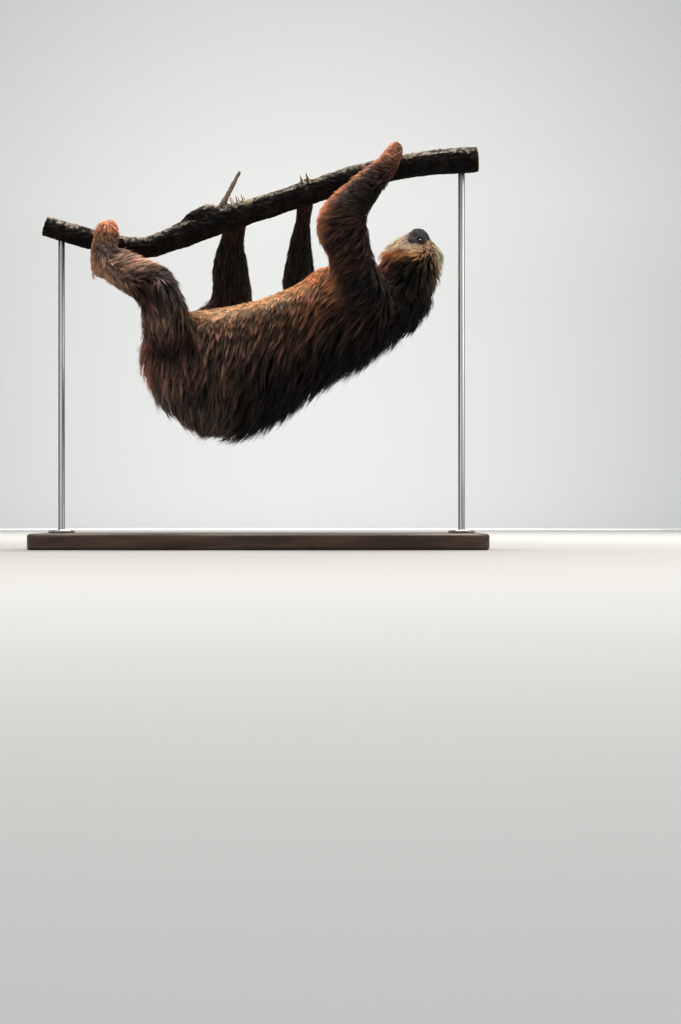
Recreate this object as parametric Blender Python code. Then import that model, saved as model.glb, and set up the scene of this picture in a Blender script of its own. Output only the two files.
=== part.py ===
"""Hoffmann's two-toed sloth, life size, hanging from a cut length of branch on a display stand.

Metres, +Z up. The sloth hangs on its back along +X: its head is at +X, its belly faces +Z and its
left side faces -Y. The origin is the middle of the base's underside, on the floor. Every flesh
solid reaches to the tips of the coat. The body is blended whole from lofted forms, then parted
into its named pieces by territories that leave a thin gap.
"""

import math
from typing import NamedTuple

import bmesh
import bpy
from mathutils import Matrix, Vector

# ---- Driving dimensions -------------------------------------------------------------------

GAP = 0.0003  # clearance between neighbouring pieces
RING_SIDES = 24  # corners of a lofted section
STEPS_PER_SPAN = 5  # rings that smooth the form between two stated sections

BASE_LENGTH, BASE_DEPTH, BASE_THICKNESS = 0.800, 0.360, 0.028
BASE_CORNER, BASE_EDGE = 0.022, 0.005
ROD_RADIUS, ROD_FLANGE_RADIUS, ROD_FLANGE_THICKNESS = 0.006, 0.024, 0.005
ROD_SPREAD = 0.360  # each rod's distance from the middle, along X
ROD_SEAT = 0.012  # how far a rod's head goes up into the branch

EYE_RADIUS = 0.0078
EAR_ROOT, EAR_TIP = 0.034, 0.057  # an ear's root and tip, out from the head's middle
CLAW_CLEARANCE = 0.0008  # air between a claw's belly and the bark

BODY_VOXEL, HEAD_VOXEL = 0.0045, 0.0022
BODY_TRIANGLES, HEAD_TRIANGLES = 1500, 640


class Station(NamedTuple):
    """One section of the trunk: its belly and back points in the XZ plane, and its half width."""

    belly: tuple
    back: tuple
    half_width: float


class Joint(NamedTuple):
    """One section of a limb: its middle, its half thickness seen from the side, and its half depth."""

    middle: tuple
    half_seen: float
    half_depth: float


class Profile(NamedTuple):
    """One section of the head: its distance towards the nose, and its reach up, down and sideways."""

    forward: float
    up: float
    down: float
    side: float


# The trunk and neck, from the rump to the nape.
TRUNK = [
    Station((-0.205, 0.402), (-0.212, 0.302), 0.056),
    Station((-0.163, 0.424), (-0.181, 0.240), 0.088),
    Station((-0.104, 0.430), (-0.108, 0.200), 0.103),
    Station((-0.048, 0.439), (-0.040, 0.187), 0.107),
    Station((0.003, 0.452), (0.030, 0.215), 0.106),
    Station((0.056, 0.472), (0.098, 0.268), 0.103),
    Station((0.109, 0.496), (0.163, 0.305), 0.101),
    Station((0.157, 0.512), (0.222, 0.345), 0.092),
    Station((0.188, 0.512), (0.272, 0.380), 0.074),
    Station((0.208, 0.494), (0.306, 0.424), 0.062),
]

# Each limb runs from inside the trunk to the knuckles. The left limbs grip from the near side.
LIMBS = {
    "forelimb_left": [
        Joint((0.192, -0.058, 0.415), 0.056, 0.052),
        Joint((0.178, -0.083, 0.460), 0.047, 0.046),
        Joint((0.166, -0.097, 0.505), 0.041, 0.040),
        Joint((0.157, -0.104, 0.535), 0.042, 0.039),
        Joint((0.145, -0.107, 0.564), 0.049, 0.040),
        Joint((0.152, -0.104, 0.593), 0.042, 0.036),
        Joint((0.170, -0.095, 0.617), 0.034, 0.032),
        Joint((0.191, -0.082, 0.643), 0.030, 0.028),
        Joint((0.212, -0.066, 0.667), 0.0250, 0.024),
        Joint((0.230, -0.051, 0.687), 0.0200, 0.019),
        Joint((0.2395, -0.039, 0.707), 0.0168, 0.016),
        Joint((0.2425, -0.030, 0.718), 0.0140, 0.014),
    ],
    "forelimb_right": [
        Joint((0.187, 0.058, 0.425), 0.054, 0.052),
        Joint((0.128, 0.090, 0.450), 0.044, 0.044),
        Joint((0.069, 0.107, 0.474), 0.034, 0.040),
        Joint((0.067, 0.103, 0.520), 0.028, 0.036),
        Joint((0.069, 0.088, 0.565), 0.020, 0.028),
        Joint((0.074, 0.069, 0.604), 0.0145, 0.022),
        Joint((0.078, 0.055, 0.636), 0.0170, 0.018),
        Joint((0.081, 0.040, 0.663), 0.0165, 0.015),
    ],
    "hindlimb_left": [
        Joint((-0.147, -0.048, 0.352), 0.060, 0.056),
        Joint((-0.164, -0.090, 0.394), 0.049, 0.050),
        Joint((-0.169, -0.112, 0.428), 0.044, 0.044),
        Joint((-0.182, -0.120, 0.457), 0.040, 0.040),
        Joint((-0.219, -0.102, 0.481), 0.038, 0.036),
        Joint((-0.254, -0.080, 0.500), 0.035, 0.031),
        Joint((-0.277, -0.062, 0.516), 0.027, 0.026),
        Joint((-0.277, -0.050, 0.541), 0.024, 0.020),
        Joint((-0.274, -0.042, 0.564), 0.0235, 0.017),
        Joint((-0.2745, -0.036, 0.576), 0.020, 0.014),
    ],
    "hindlimb_right": [
        Joint((-0.150, 0.050, 0.361), 0.060, 0.056),
        Joint((-0.114, 0.090, 0.394), 0.048, 0.046),
        Joint((-0.067, 0.110, 0.428), 0.043, 0.042),
        Joint((-0.058, 0.110, 0.460), 0.039, 0.040),
        Joint((-0.059, 0.104, 0.487), 0.033, 0.036),
        Joint((-0.060, 0.094, 0.514), 0.028, 0.033),
        Joint((-0.059, 0.080, 0.544), 0.0245, 0.028),
        Joint((-0.055, 0.067, 0.567), 0.0220, 0.024),
        Joint((-0.049, 0.055, 0.589), 0.0210, 0.020),
        Joint((-0.0455, 0.040, 0.613), 0.0200, 0.016),
    ],
}

# A hind foot's heel stands off behind the ankle: from and to, with its two half thicknesses.
HEELS = {
    "hindlimb_left": [Joint((-0.281, -0.062, 0.520), 0.020, 0.020), Joint((-0.294, -0.058, 0.490), 0.012, 0.014)],
    "hindlimb_right": [Joint((-0.054, 0.070, 0.568), 0.018, 0.019), Joint((-0.067, 0.064, 0.569), 0.010, 0.012)],
}

# Where each limb is parted: the joint of LIMBS that each piece starts from.
PARTINGS = {
    "hindlimb_right": [("thigh", 1), ("shank", 3), ("foot", 7)],
    "hindlimb_left": [("thigh", 1), ("shank", 3), ("foot", 6)],
    "forelimb_right": [("upper_arm", 1), ("forearm", 2), ("hand", 5)],
    "forelimb_left": [("upper_arm", 1), ("forearm", 4), ("hand", 8)],
}
ROOT_BALL = {"forelimb_left": 0.059, "forelimb_right": 0.050, "hindlimb_left": 0.056, "hindlimb_right": 0.052}
PAST_JOINT = 0.050  # how far a piece's territory runs on past its end

# The head's own frame: its middle, the way its nose points, and the way its crown faces.
HEAD_MIDDLE = Vector((0.2720, 0.0, 0.5060))
HEAD_FORWARD = Vector((0.10, 0.26, 1.0)).normalized()
HEAD_PROFILE = [
    Profile(-0.062, 0.030, 0.034, 0.030),
    Profile(-0.046, 0.046, 0.053, 0.046),
    Profile(-0.020, 0.055, 0.065, 0.055),
    Profile(0.004, 0.057, 0.066, 0.057),
    Profile(0.020, 0.053, 0.060, 0.051),
    Profile(0.032, 0.045, 0.048, 0.040),
    Profile(0.042, 0.036, 0.036, 0.031),
    Profile(0.052, 0.029, 0.026, 0.026),
    Profile(0.061, 0.025, 0.018, 0.022),
    Profile(0.067, 0.022, 0.010, 0.019),
    Profile(0.071, 0.018, 0.002, 0.015),
]
EYE_PLACE = (0.0365, 0.0095, 0.0270)  # forward, up and sideways from the head's middle
EAR_PLACE = (0.001, 0.012)  # forward and up
MOUTH_CORNER, MOUTH_FRONT = (0.036, -0.012), (0.074, -0.002)  # forward and up
NOSE_CUT, SNOUT_CUT = 0.0635, 0.0455  # where the nose and the bare snout begin
NOSTRIL_PLACE, NOSTRIL_SIZE = (0.0705, 0.0095, 0.0085), (0.0050, 0.0026, 0.0040)

# The neck lies between these two planes: a point and the way to the head.
NECK_BASE = (Vector((0.231, 0.0, 0.442)), Vector((0.83, 0.0, 0.56)).normalized())
NECK_TOP = (Vector((0.262, 0.0, 0.478)), Vector((0.30, 0.0, 0.95)).normalized())
NECK_TERRITORY = 0.130

# The branch: points of its middle line in the XZ plane, with its radius.
BRANCH = [
    ((-0.390, 0.581), 0.0195),
    ((-0.305, 0.556), 0.0200),
    ((-0.225, 0.541), 0.0200),
    ((-0.192, 0.546), 0.0212),
    ((-0.147, 0.5625), 0.0238),
    ((-0.105, 0.579), 0.0245),
    ((-0.052, 0.597), 0.0240),
    ((0.000, 0.6135), 0.0232),
    ((0.055, 0.631), 0.0230),
    ((0.105, 0.647), 0.0232),
    ((0.150, 0.6625), 0.0236),
    ((0.249, 0.6865), 0.0232),
    ((0.310, 0.695), 0.0240),
    ((0.390, 0.701), 0.0245),
]
TWIG = [((-0.086, 0.590), 0.0120), ((-0.072, 0.616), 0.0075), ((-0.057, 0.644), 0.0052), ((-0.036, 0.684), 0.0046)]
KNOB = [((-0.136, 0.582), 0.014), ((-0.110, 0.596), 0.020), ((-0.086, 0.602), 0.019), ((-0.066, 0.598), 0.014)]

# Claws of each hand or foot: how many, their spacing, half thickness, and the arc they take over
# the branch, in degrees from the far side up over the top.
CLAWS = {
    "forelimb_left": dict(count=2, root_x=0.2430, spacing=0.0110, half=0.0042, start=130, end=-12),
    "forelimb_right": dict(count=2, root_x=0.0805, spacing=0.0105, half=0.0040, start=36, end=150),
    "hindlimb_left": dict(count=3, root_x=-0.2745, spacing=0.0105, half=0.0036, start=141, end=-8),
    "hindlimb_right": dict(count=3, root_x=-0.0400, spacing=0.0100, half=0.0036, start=25, end=148),
}
CLAW_LIFT = 0.014  # how far a claw's root stands off the arc of its tip

FINISHES = {
    "coat": ((0.165, 0.095, 0.056, 1), 0.85, 0.0),
    "limb_coat": ((0.190, 0.088, 0.048, 1), 0.85, 0.0),
    "face_coat": ((0.420, 0.300, 0.190, 1), 0.80, 0.0),
    "bare_skin": ((0.105, 0.070, 0.068, 1), 0.45, 0.0),
    "eye": ((0.020, 0.011, 0.008, 1), 0.08, 0.0),
    "claw": ((0.230, 0.165, 0.105, 1), 0.38, 0.0),
    "bark": ((0.060, 0.045, 0.035, 1), 0.90, 0.0),
    "stand_wood": ((0.050, 0.030, 0.020, 1), 0.40, 0.0),
    "stand_steel": ((0.550, 0.550, 0.540, 1), 0.30, 1.0),
}


# ---- Scene, meshes and materials ----------------------------------------------------------


def clear_scene():
    """Removes every object of the scene that the script starts in."""
    for old in list(bpy.data.objects):
        bpy.data.objects.remove(old)


def finish(name):
    """The named material, made on first use."""
    if name in bpy.data.materials:
        return bpy.data.materials[name]
    colour, roughness, metallic = FINISHES[name]
    material = bpy.data.materials.new(name)
    material.use_nodes = True
    shader = material.node_tree.nodes["Principled BSDF"]
    shader.inputs["Base Color"].default_value = colour
    shader.inputs["Roughness"].default_value = roughness
    shader.inputs["Metallic"].default_value = metallic
    material.diffuse_color = colour
    return material


def place(name, mesh, finish_name):
    """Puts a mesh in the scene as a smooth-shaded object of that name and finish."""
    obj = bpy.data.objects.new(name, mesh)
    bpy.context.scene.collection.objects.link(obj)
    mesh.materials.clear()
    mesh.materials.append(finish(finish_name))
    mesh.shade_smooth()
    mesh.set_sharp_from_angle(angle=math.radians(40))
    return obj


def mesh_of(bm, name):
    """Turns a bmesh into a mesh whose faces point outwards."""
    bmesh.ops.recalc_face_normals(bm, faces=bm.faces[:])
    mesh = bpy.data.meshes.new(name)
    bm.to_mesh(mesh)
    bm.free()
    return mesh


def helper(mesh):
    """A scene object that only helps to shape others."""
    obj = bpy.data.objects.new("helper", mesh)
    obj.hide_render = True
    obj.display_type = "WIRE"
    bpy.context.scene.collection.objects.link(obj)
    return obj


def evaluated(obj):
    """The object's mesh with its modifiers applied; the object itself is removed."""
    mesh = bpy.data.meshes.new_from_object(obj.evaluated_get(bpy.context.evaluated_depsgraph_get()))
    bpy.data.objects.remove(obj)
    return mesh


def boolean(mesh, tool, operation):
    """The mesh joined with, cut by or kept inside a tool mesh."""
    body, cutter = helper(mesh.copy()), helper(tool)
    cut = body.modifiers.new(operation, "BOOLEAN")
    cut.operation = operation
    cut.object = cutter
    result = evaluated(body)
    bpy.data.objects.remove(cutter)
    return result


# ---- Lofted forms -------------------------------------------------------------------------


def smooth_rows(rows):
    """Rows of numbers with the rows between them filled in along a Catmull-Rom curve."""
    padded = [rows[0], *rows, rows[-1]]
    filled = []
    for before, start, end, after in zip(padded, padded[1:], padded[2:], padded[3:]):
        for step in range(STEPS_PER_SPAN):
            t = step / STEPS_PER_SPAN
            weights = (
                (-t + 2 * t**2 - t**3) / 2,
                (2 - 5 * t**2 + 3 * t**3) / 2,
                (t + 4 * t**2 - 3 * t**3) / 2,
                (t**3 - t**2) / 2,
            )
            columns = zip(before, start, end, after)
            filled.append([sum(w * v for w, v in zip(weights, column)) for column in columns])
    return [*filled, list(rows[-1])]


def section(middle, up, side, top, bottom, half, power=2.0):
    """The corners of an egg-shaped section: its top and bottom reach along up, its half width along side."""
    corners = []
    for corner in range(RING_SIDES):
        angle = math.tau * corner / RING_SIDES
        across = math.copysign(abs(math.cos(angle)) ** (2 / power), math.cos(angle))
        along = math.copysign(abs(math.sin(angle)) ** (2 / power), math.sin(angle))
        corners.append(middle + side * half * across + up * (top if along > 0 else bottom) * along)
    return corners


def rounded_end(ring, outwards):
    """Shrinking copies of an end ring that close it with a dome as deep as the vector outwards."""
    middle = sum(ring, Vector()) / len(ring)
    return [
        [middle + (corner - middle) * math.cos(angle) + outwards * math.sin(angle) for corner in ring]
        for angle in (math.radians(a) for a in (25, 50, 72))
    ]


def loft(rings, start_dome, end_dome):
    """A closed bmesh through the rings, with a dome of the given depth at each end."""
    middles = [sum(ring, Vector()) / len(ring) for ring in (rings[0], rings[1], rings[-2], rings[-1])]
    outwards = (middles[0] - middles[1]).normalized() * start_dome
    onwards = (middles[3] - middles[2]).normalized() * end_dome
    start = rounded_end(rings[0], outwards) if start_dome else []
    end = rounded_end(rings[-1], onwards) if end_dome else []
    bm = bmesh.new()
    loops = []
    for ring in [*reversed(start), *rings, *end]:
        corners = [bm.verts.new(corner) for corner in ring]
        loops.append([bm.edges.new((a, b)) for a, b in zip(corners, corners[1:] + corners[:1])])
    for first, second in zip(loops, loops[1:]):
        bmesh.ops.bridge_loops(bm, edges=first + second)
    bmesh.ops.edgeloop_fill(bm, edges=loops[0])
    bmesh.ops.edgeloop_fill(bm, edges=loops[-1])
    return bm


def trunk_loft():
    """The trunk and neck, to the tips of the coat: flatter on the belly than down the hanging back."""
    rings = []
    rows = smooth_rows([(*s.belly, *s.back, s.half_width) for s in TRUNK])
    for belly_x, belly_z, back_x, back_z, half in rows:
        belly, back = Vector((belly_x, 0, belly_z)), Vector((back_x, 0, back_z))
        middle = back.lerp(belly, 0.54)
        up = (belly - back).normalized()
        top, bottom = (belly - middle).length, (middle - back).length
        rings.append(section(middle, up, Vector((0, -1, 0)), top, bottom, half, 2.15))
    return loft(rings, 0.020, 0.030)


def limb_loft(joints):
    """A limb of oval sections square to its own middle line."""
    rows = smooth_rows([(*j.middle, j.half_seen, j.half_depth) for j in joints])
    middles = [Vector(row[:3]) for row in rows]
    rings = []
    for index, (middle, row) in enumerate(zip(middles, rows)):
        along = (middles[min(index + 1, len(rows) - 1)] - middles[max(index - 1, 0)]).normalized()
        seen = along.cross(Vector((0, 1, 0))).normalized()
        depth = seen.cross(along)
        rings.append(section(middle, seen, depth, row[3], row[3], row[4]))
    return loft(rings, joints[0].half_depth * 0.5, joints[-1].half_depth)


# ---- The head's frame ---------------------------------------------------------------------


def head_matrix():
    """The head's frame: X towards the nose, Y towards its left side, Z towards its crown."""
    crown = Vector((1, 0, 0))
    crown = (crown - HEAD_FORWARD * crown.dot(HEAD_FORWARD)).normalized()
    left = crown.cross(HEAD_FORWARD)
    matrix = Matrix((HEAD_FORWARD, left, crown)).transposed().to_4x4()
    matrix.translation = HEAD_MIDDLE
    return matrix


def in_head(forward, up, side=0.0):
    """A point of the head, given in its own frame."""
    return head_matrix() @ Vector((forward, side, up))


def head_loft():
    """The head to the tips of its coat, from the nape to the nose."""
    matrix = head_matrix().to_3x3()
    left, crown = matrix @ Vector((0, 1, 0)), matrix @ Vector((0, 0, 1))
    rings = []
    for forward, up, down, side in smooth_rows([tuple(p) for p in HEAD_PROFILE]):
        rings.append(section(in_head(forward, 0.0), crown, left, up, down, side, 2.25))
    return loft(rings, 0.010, 0.003)


def ellipsoid(matrix, sizes, segments=14):
    """A bmesh ellipsoid with these half sizes, placed by the matrix."""
    bm = bmesh.new()
    bmesh.ops.create_uvsphere(bm, u_segments=segments, v_segments=segments // 2, radius=1.0)
    bmesh.ops.transform(bm, matrix=matrix @ Matrix.Diagonal((*sizes, 1.0)), verts=bm.verts[:])
    return bm


def head_feature(forward, up, side, sizes):
    """An ellipsoid in the head's own frame."""
    return ellipsoid(head_matrix() @ Matrix.Translation((forward, side, up)), sizes, 10)


# ---- Blending and parting -----------------------------------------------------------------


def blended(forms, voxel, smoothing, triangles):
    """One closed skin round overlapping closed forms, eased at their creases."""
    whole = bmesh.new()
    for form in forms:
        mesh = mesh_of(form, "form")
        whole.from_mesh(mesh)
    obj = helper(mesh_of(whole, "whole"))
    remesh = obj.modifiers.new("Blend", "REMESH")
    remesh.mode, remesh.voxel_size = "VOXEL", voxel
    smooth = obj.modifiers.new("Ease", "SMOOTH")
    smooth.factor, smooth.iterations = 0.5, smoothing
    obj = helper(evaluated(obj))
    obj.modifiers.new("Triangles", "TRIANGULATE")
    decimate = obj.modifiers.new("Lighten", "DECIMATE")
    decimate.ratio = triangles / (2 * len(obj.data.polygons))
    return evaluated(obj)


def half_space(point, direction, reach, grow=0.0):
    """A block that takes in all within reach on the far side of a plane."""
    bm = bmesh.new()
    turn = direction.to_track_quat("Z", "Y").to_matrix().to_4x4()
    centre = Matrix.Translation(point + direction * (reach - grow))
    scale = Matrix.Diagonal((reach + grow, reach + grow, reach, 1.0))
    bmesh.ops.create_cube(bm, size=2.0, matrix=centre @ turn @ scale)
    return mesh_of(bm, "half_space")


def reach_of_limb(start, direction, radius, length, grow):
    """A cylinder that starts square to a limb and takes in the flesh beyond."""
    bm = bmesh.new()
    turn = direction.to_track_quat("Z", "Y").to_matrix().to_4x4()
    centre = Matrix.Translation(start + direction * (length / 2 - grow))
    size = radius + grow
    bmesh.ops.create_cone(
        bm, cap_ends=True, segments=20, radius1=size, radius2=size, depth=length, matrix=centre @ turn
    )
    return mesh_of(bm, "reach_of_limb")


def ball(centre, radius, grow=0.0):
    """A ball, such as an eye or the root of a limb."""
    return mesh_of(ellipsoid(Matrix.Translation(centre), [radius + grow] * 3), "ball")


def part(body, territory):
    """Takes a territory out of a body: returns the body without it, and the piece inside it."""
    piece = boolean(body, territory(0.0), "INTERSECT")
    rest = boolean(body, territory(GAP), "DIFFERENCE")
    return rest, piece


def part_limb(body, name):
    """Parts one limb, from its tip back to its root. Returns the rest and the limb's named meshes."""
    joints = LIMBS[name]
    end = len(joints) - 1
    pieces = {}
    for piece_name, index in reversed(PARTINGS[name]):
        start, towards = Vector(joints[index].middle), Vector(joints[index + 1].middle)
        direction = (towards - start).normalized()
        length = (Vector(joints[end].middle) - start).length + PAST_JOINT
        radius = ROOT_BALL[name] if index == 1 else joints[index].half_seen + 0.018

        def territory(grow, start=start, direction=direction, radius=radius, length=length, root=index == 1):
            beyond = reach_of_limb(start, direction, radius, length, grow)
            return boolean(beyond, ball(start, radius, grow), "UNION") if root else beyond

        body, pieces[f"{name}_{piece_name}"] = part(body, territory)
        end = index
    return body, pieces


# ---- Claws, branch and stand --------------------------------------------------------------


def branch_rows():
    """The branch's middle line and radius, smoothed."""
    return smooth_rows([(x, z, radius) for (x, z), radius in BRANCH])


def branch_at(x):
    """The branch's middle, its way along and its radius at a place along X."""
    rows = branch_rows()
    for (x0, z0, r0), (x1, z1, r1) in zip(rows, rows[1:]):
        if x0 <= x <= x1:
            t = (x - x0) / (x1 - x0)
            along = Vector((x1 - x0, 0, z1 - z0)).normalized()
            return Vector((x, 0, z0 + t * (z1 - z0))), along, r0 + t * (r1 - r0)
    raise ValueError(f"the branch doesn't reach {x}")


def tube_rings(points, radii, knobbly=0.0):
    """Round rings along points in the XZ plane, swelling a little in turn where knobbly."""
    rings = []
    for index, (middle, radius) in enumerate(zip(points, radii)):
        along = (points[min(index + 1, len(points) - 1)] - points[max(index - 1, 0)]).normalized()
        up = Vector((0, -1, 0)).cross(along).normalized()
        top = radius * (1 + knobbly * math.sin(index * 1.9))
        bottom = radius * (1 + knobbly * math.sin(index * 2.7 + 1))
        half = radius * (1 + knobbly * math.cos(index * 2.3))
        rings.append(section(middle, up, Vector((0, -1, 0)), top, bottom, half)[::2])
    return rings


def branch_mesh():
    """The cut branch with the stub of its side twig, drilled from below for the rods."""
    rows = [*branch_rows()[:-2:3], branch_rows()[-1]]
    branch = loft(tube_rings([Vector((x, 0, z)) for x, z, _ in rows], [r for _, _, r in rows], 0.04), 0, 0)
    twig = smooth_rows([(x, z, radius) for (x, z), radius in TWIG])[::2]
    stub = loft(tube_rings([Vector((x, 0, z)) for x, z, _ in twig], [r for _, _, r in twig]), 0, 0.001)
    knob = smooth_rows([(x, z, radius) for (x, z), radius in KNOB])[::2]
    knob = loft(tube_rings([Vector((x, 0, z)) for x, z, _ in knob], [r for _, _, r in knob], 0.06), 0.010, 0.010)
    mesh = boolean(mesh_of(branch, "branch"), mesh_of(knob, "knob"), "UNION")
    mesh = boolean(mesh, mesh_of(stub, "stub"), "UNION")
    for side in (-1, 1):
        _, hole_top = rod_ends(side)
        bm = bmesh.new()
        depth = 3 * ROD_SEAT + GAP
        matrix = Matrix.Translation((side * ROD_SPREAD, 0, hole_top + GAP - depth / 2))
        radius = ROD_RADIUS + GAP
        bmesh.ops.create_cone(
            bm, cap_ends=True, segments=20, radius1=radius, radius2=radius, depth=depth, matrix=matrix
        )
        mesh = boolean(mesh, mesh_of(bm, "hole"), "DIFFERENCE")
    return mesh


def rod_ends(side):
    """Where a rod's foot and head are, in Z."""
    middle, _, radius = branch_at(side * ROD_SPREAD)
    return BASE_THICKNESS + GAP, middle.z - radius + ROD_SEAT


def rod_mesh(side):
    """A turned rod: a round flange on the base, a small fillet and a plain shaft."""
    foot, head = rod_ends(side)
    fillet = 0.004
    profile = [
        (0.0, foot),
        (ROD_FLANGE_RADIUS, foot),
        (ROD_FLANGE_RADIUS, foot + ROD_FLANGE_THICKNESS * 0.6),
        (ROD_FLANGE_RADIUS - 0.0015, foot + ROD_FLANGE_THICKNESS),
        (ROD_RADIUS + fillet, foot + ROD_FLANGE_THICKNESS),
        (ROD_RADIUS + fillet * 0.3, foot + ROD_FLANGE_THICKNESS + fillet * 0.4),
        (ROD_RADIUS, foot + ROD_FLANGE_THICKNESS + fillet * 1.4),
        (ROD_RADIUS, head - 0.001),
        (ROD_RADIUS - 0.001, head),
        (0.0, head),
    ]
    bm = bmesh.new()
    corners = [bm.verts.new((radius, 0, z)) for radius, z in profile]
    edges = [bm.edges.new(pair) for pair in zip(corners, corners[1:])]
    bmesh.ops.spin(bm, geom=edges, axis=(0, 0, 1), cent=(0, 0, 0), angle=math.tau, steps=16, use_merge=True)
    bmesh.ops.remove_doubles(bm, verts=bm.verts[:], dist=1e-6)
    bmesh.ops.translate(bm, vec=(side * ROD_SPREAD, 0, 0), verts=bm.verts[:])
    return mesh_of(bm, "rod")


def base_mesh():
    """A plain flat slab with rounded corners and eased upper edges."""
    bm = bmesh.new()
    scale = Matrix.Diagonal((BASE_LENGTH, BASE_DEPTH, BASE_THICKNESS, 1.0))
    bmesh.ops.create_cube(bm, size=1.0, matrix=Matrix.Translation((0, 0, BASE_THICKNESS / 2)) @ scale)
    corners = [e for e in bm.edges if abs(e.verts[0].co.z - e.verts[1].co.z) > BASE_THICKNESS / 2]
    bmesh.ops.bevel(
        bm, geom=corners, offset=BASE_CORNER, offset_type="OFFSET", segments=4, profile=0.5, affect="EDGES"
    )
    upper = [e for e in bm.edges if min(v.co.z for v in e.verts) > BASE_THICKNESS * 0.9]
    bmesh.ops.bevel(
        bm, geom=upper, offset=BASE_EDGE, offset_type="OFFSET", segments=2, profile=0.5, affect="EDGES"
    )
    return mesh_of(bm, "base")


def claw_mesh(limb, number, grow=0.0):
    """One curved claw, laid over the branch from its knuckle to its point."""
    kind = CLAWS[limb]
    root_x = kind["root_x"] + (number - (kind["count"] - 1) / 2) * kind["spacing"]
    _, along, radius = branch_at(root_x)
    up = Vector((0, -1, 0)).cross(along).normalized()
    middle, _, _ = branch_at(root_x - up.x * (radius + CLAW_LIFT) * math.sin(math.radians(kind["start"])))
    steps = 8
    rings = []
    for step in range(steps + 1):
        t = step / steps
        angle = math.radians(kind["start"] + (kind["end"] - kind["start"]) * t)
        half = kind["half"] * (1 - t**1.6) + 0.0009
        away = radius * 1.05 + CLAW_CLEARANCE + half + CLAW_LIFT * (1 - t) ** 2
        outwards = Vector((0, 1, 0)) * math.cos(angle) + up * math.sin(angle)
        point = middle + outwards * away
        rings.append(section(point, outwards, along, half + grow, half + grow, half * 0.75 + grow)[::4])
    return mesh_of(loft(rings, 0, 0), "claw")


def grown(mesh, amount):
    """A copy of a closed mesh swollen by an amount, for use as a cutter."""
    bm = bmesh.new()
    bm.from_mesh(mesh)
    bm.normal_update()
    for vertex in bm.verts:
        vertex.co += vertex.normal * amount
    return mesh_of(bm, "grown")


def ear_mesh(side):
    """A small round ear: a thin, slightly cupped leaf that stands out through the coat."""
    matrix = head_matrix()
    out = matrix.to_3x3() @ Vector((-0.30, side, 0.12)).normalized()
    across = (matrix.to_3x3() @ Vector((0.35, 0, 1))).normalized()
    flat = out.cross(across).normalized()
    root = in_head(EAR_PLACE[0], EAR_PLACE[1], side * EAR_ROOT)
    length = EAR_TIP - EAR_ROOT
    rings = []
    for step in range(6):
        t = step / 5
        half = 0.0055 + 0.0050 * math.sin(math.pi * min(1.0, t * 0.75))
        thick = 0.0022 - 0.0008 * t
        cup = flat * 0.004 * t * t
        rings.append(section(root + out * length * t + cup, flat, across, thick, thick, half)[::3])
    return mesh_of(loft(rings, 0.0, 0.003), "ear")


# ---- Assembly -----------------------------------------------------------------------------


def build_body():
    """The trunk, neck and limbs, blended whole and then parted."""
    forms = [trunk_loft(), head_loft()]
    forms += [limb_loft(joints) for joints in LIMBS.values()]
    forms += [limb_loft(joints) for joints in HEELS.values()]
    body = blended(forms, BODY_VOXEL, 8, BODY_TRIANGLES)
    pieces = {}
    for name in PARTINGS:
        body, limb = part_limb(body, name)
        pieces.update(limb)
    body = boolean(body, half_space(*NECK_TOP, NECK_TERRITORY, GAP), "DIFFERENCE")
    pieces["trunk"], pieces["neck"] = part(body, lambda grow: half_space(*NECK_BASE, NECK_TERRITORY, grow))
    return pieces


def build_head():
    """The head with its snout, lower jaw, nose, eyes and ears."""
    brows = [head_feature(0.034, 0.026, side * 0.024, (0.014, 0.012, 0.010)) for side in (-1, 1)]
    cheeks = [head_feature(0.018, -0.016, side * 0.036, (0.026, 0.018, 0.026)) for side in (-1, 1)]
    head = blended([head_loft(), *brows, *cheeks], HEAD_VOXEL, 6, HEAD_TRIANGLES)
    head = boolean(head, half_space(*NECK_TOP, 0.2), "INTERSECT")
    forward = head_matrix().to_3x3() @ Vector((1, 0, 0))
    crown = head_matrix().to_3x3() @ Vector((0, 0, 1))
    pieces = {}

    head, pieces["nose"] = part(head, lambda grow: half_space(in_head(NOSE_CUT, 0), forward, 0.1, grow))
    for side in (-1, 1):
        reach, up, out = NOSTRIL_PLACE
        nostril = mesh_of(head_feature(reach, up, side * out, NOSTRIL_SIZE), "nostril")
        pieces["nose"] = boolean(pieces["nose"], nostril, "DIFFERENCE")

    corner, front = in_head(*MOUTH_CORNER), in_head(*MOUTH_FRONT)
    below = (front - corner).normalized().cross(head_matrix().to_3x3() @ Vector((0, 1, 0))).normalized()
    below = below if below.dot(crown) < 0 else -below

    def jaw_territory(grow):
        lower = half_space(corner, below, 0.06, grow)
        return boolean(lower, half_space(corner, forward, 0.06, grow), "INTERSECT")

    head, pieces["jaw"] = part(head, jaw_territory)
    head, pieces["snout"] = part(head, lambda grow: half_space(in_head(SNOUT_CUT, 0), forward, 0.1, grow))
    for side, word in ((1, "left"), (-1, "right")):
        reach, up, out = EYE_PLACE
        centre = in_head(reach, up, side * out)
        head = boolean(head, ball(centre, EYE_RADIUS, GAP), "DIFFERENCE")
        pieces[f"eye_{word}"] = ball(centre, EYE_RADIUS)
        pieces[f"ear_{word}"] = ear_mesh(side)
        head = boolean(head, grown(pieces[f"ear_{word}"], GAP), "DIFFERENCE")
    pieces["head"] = head
    return pieces


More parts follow.
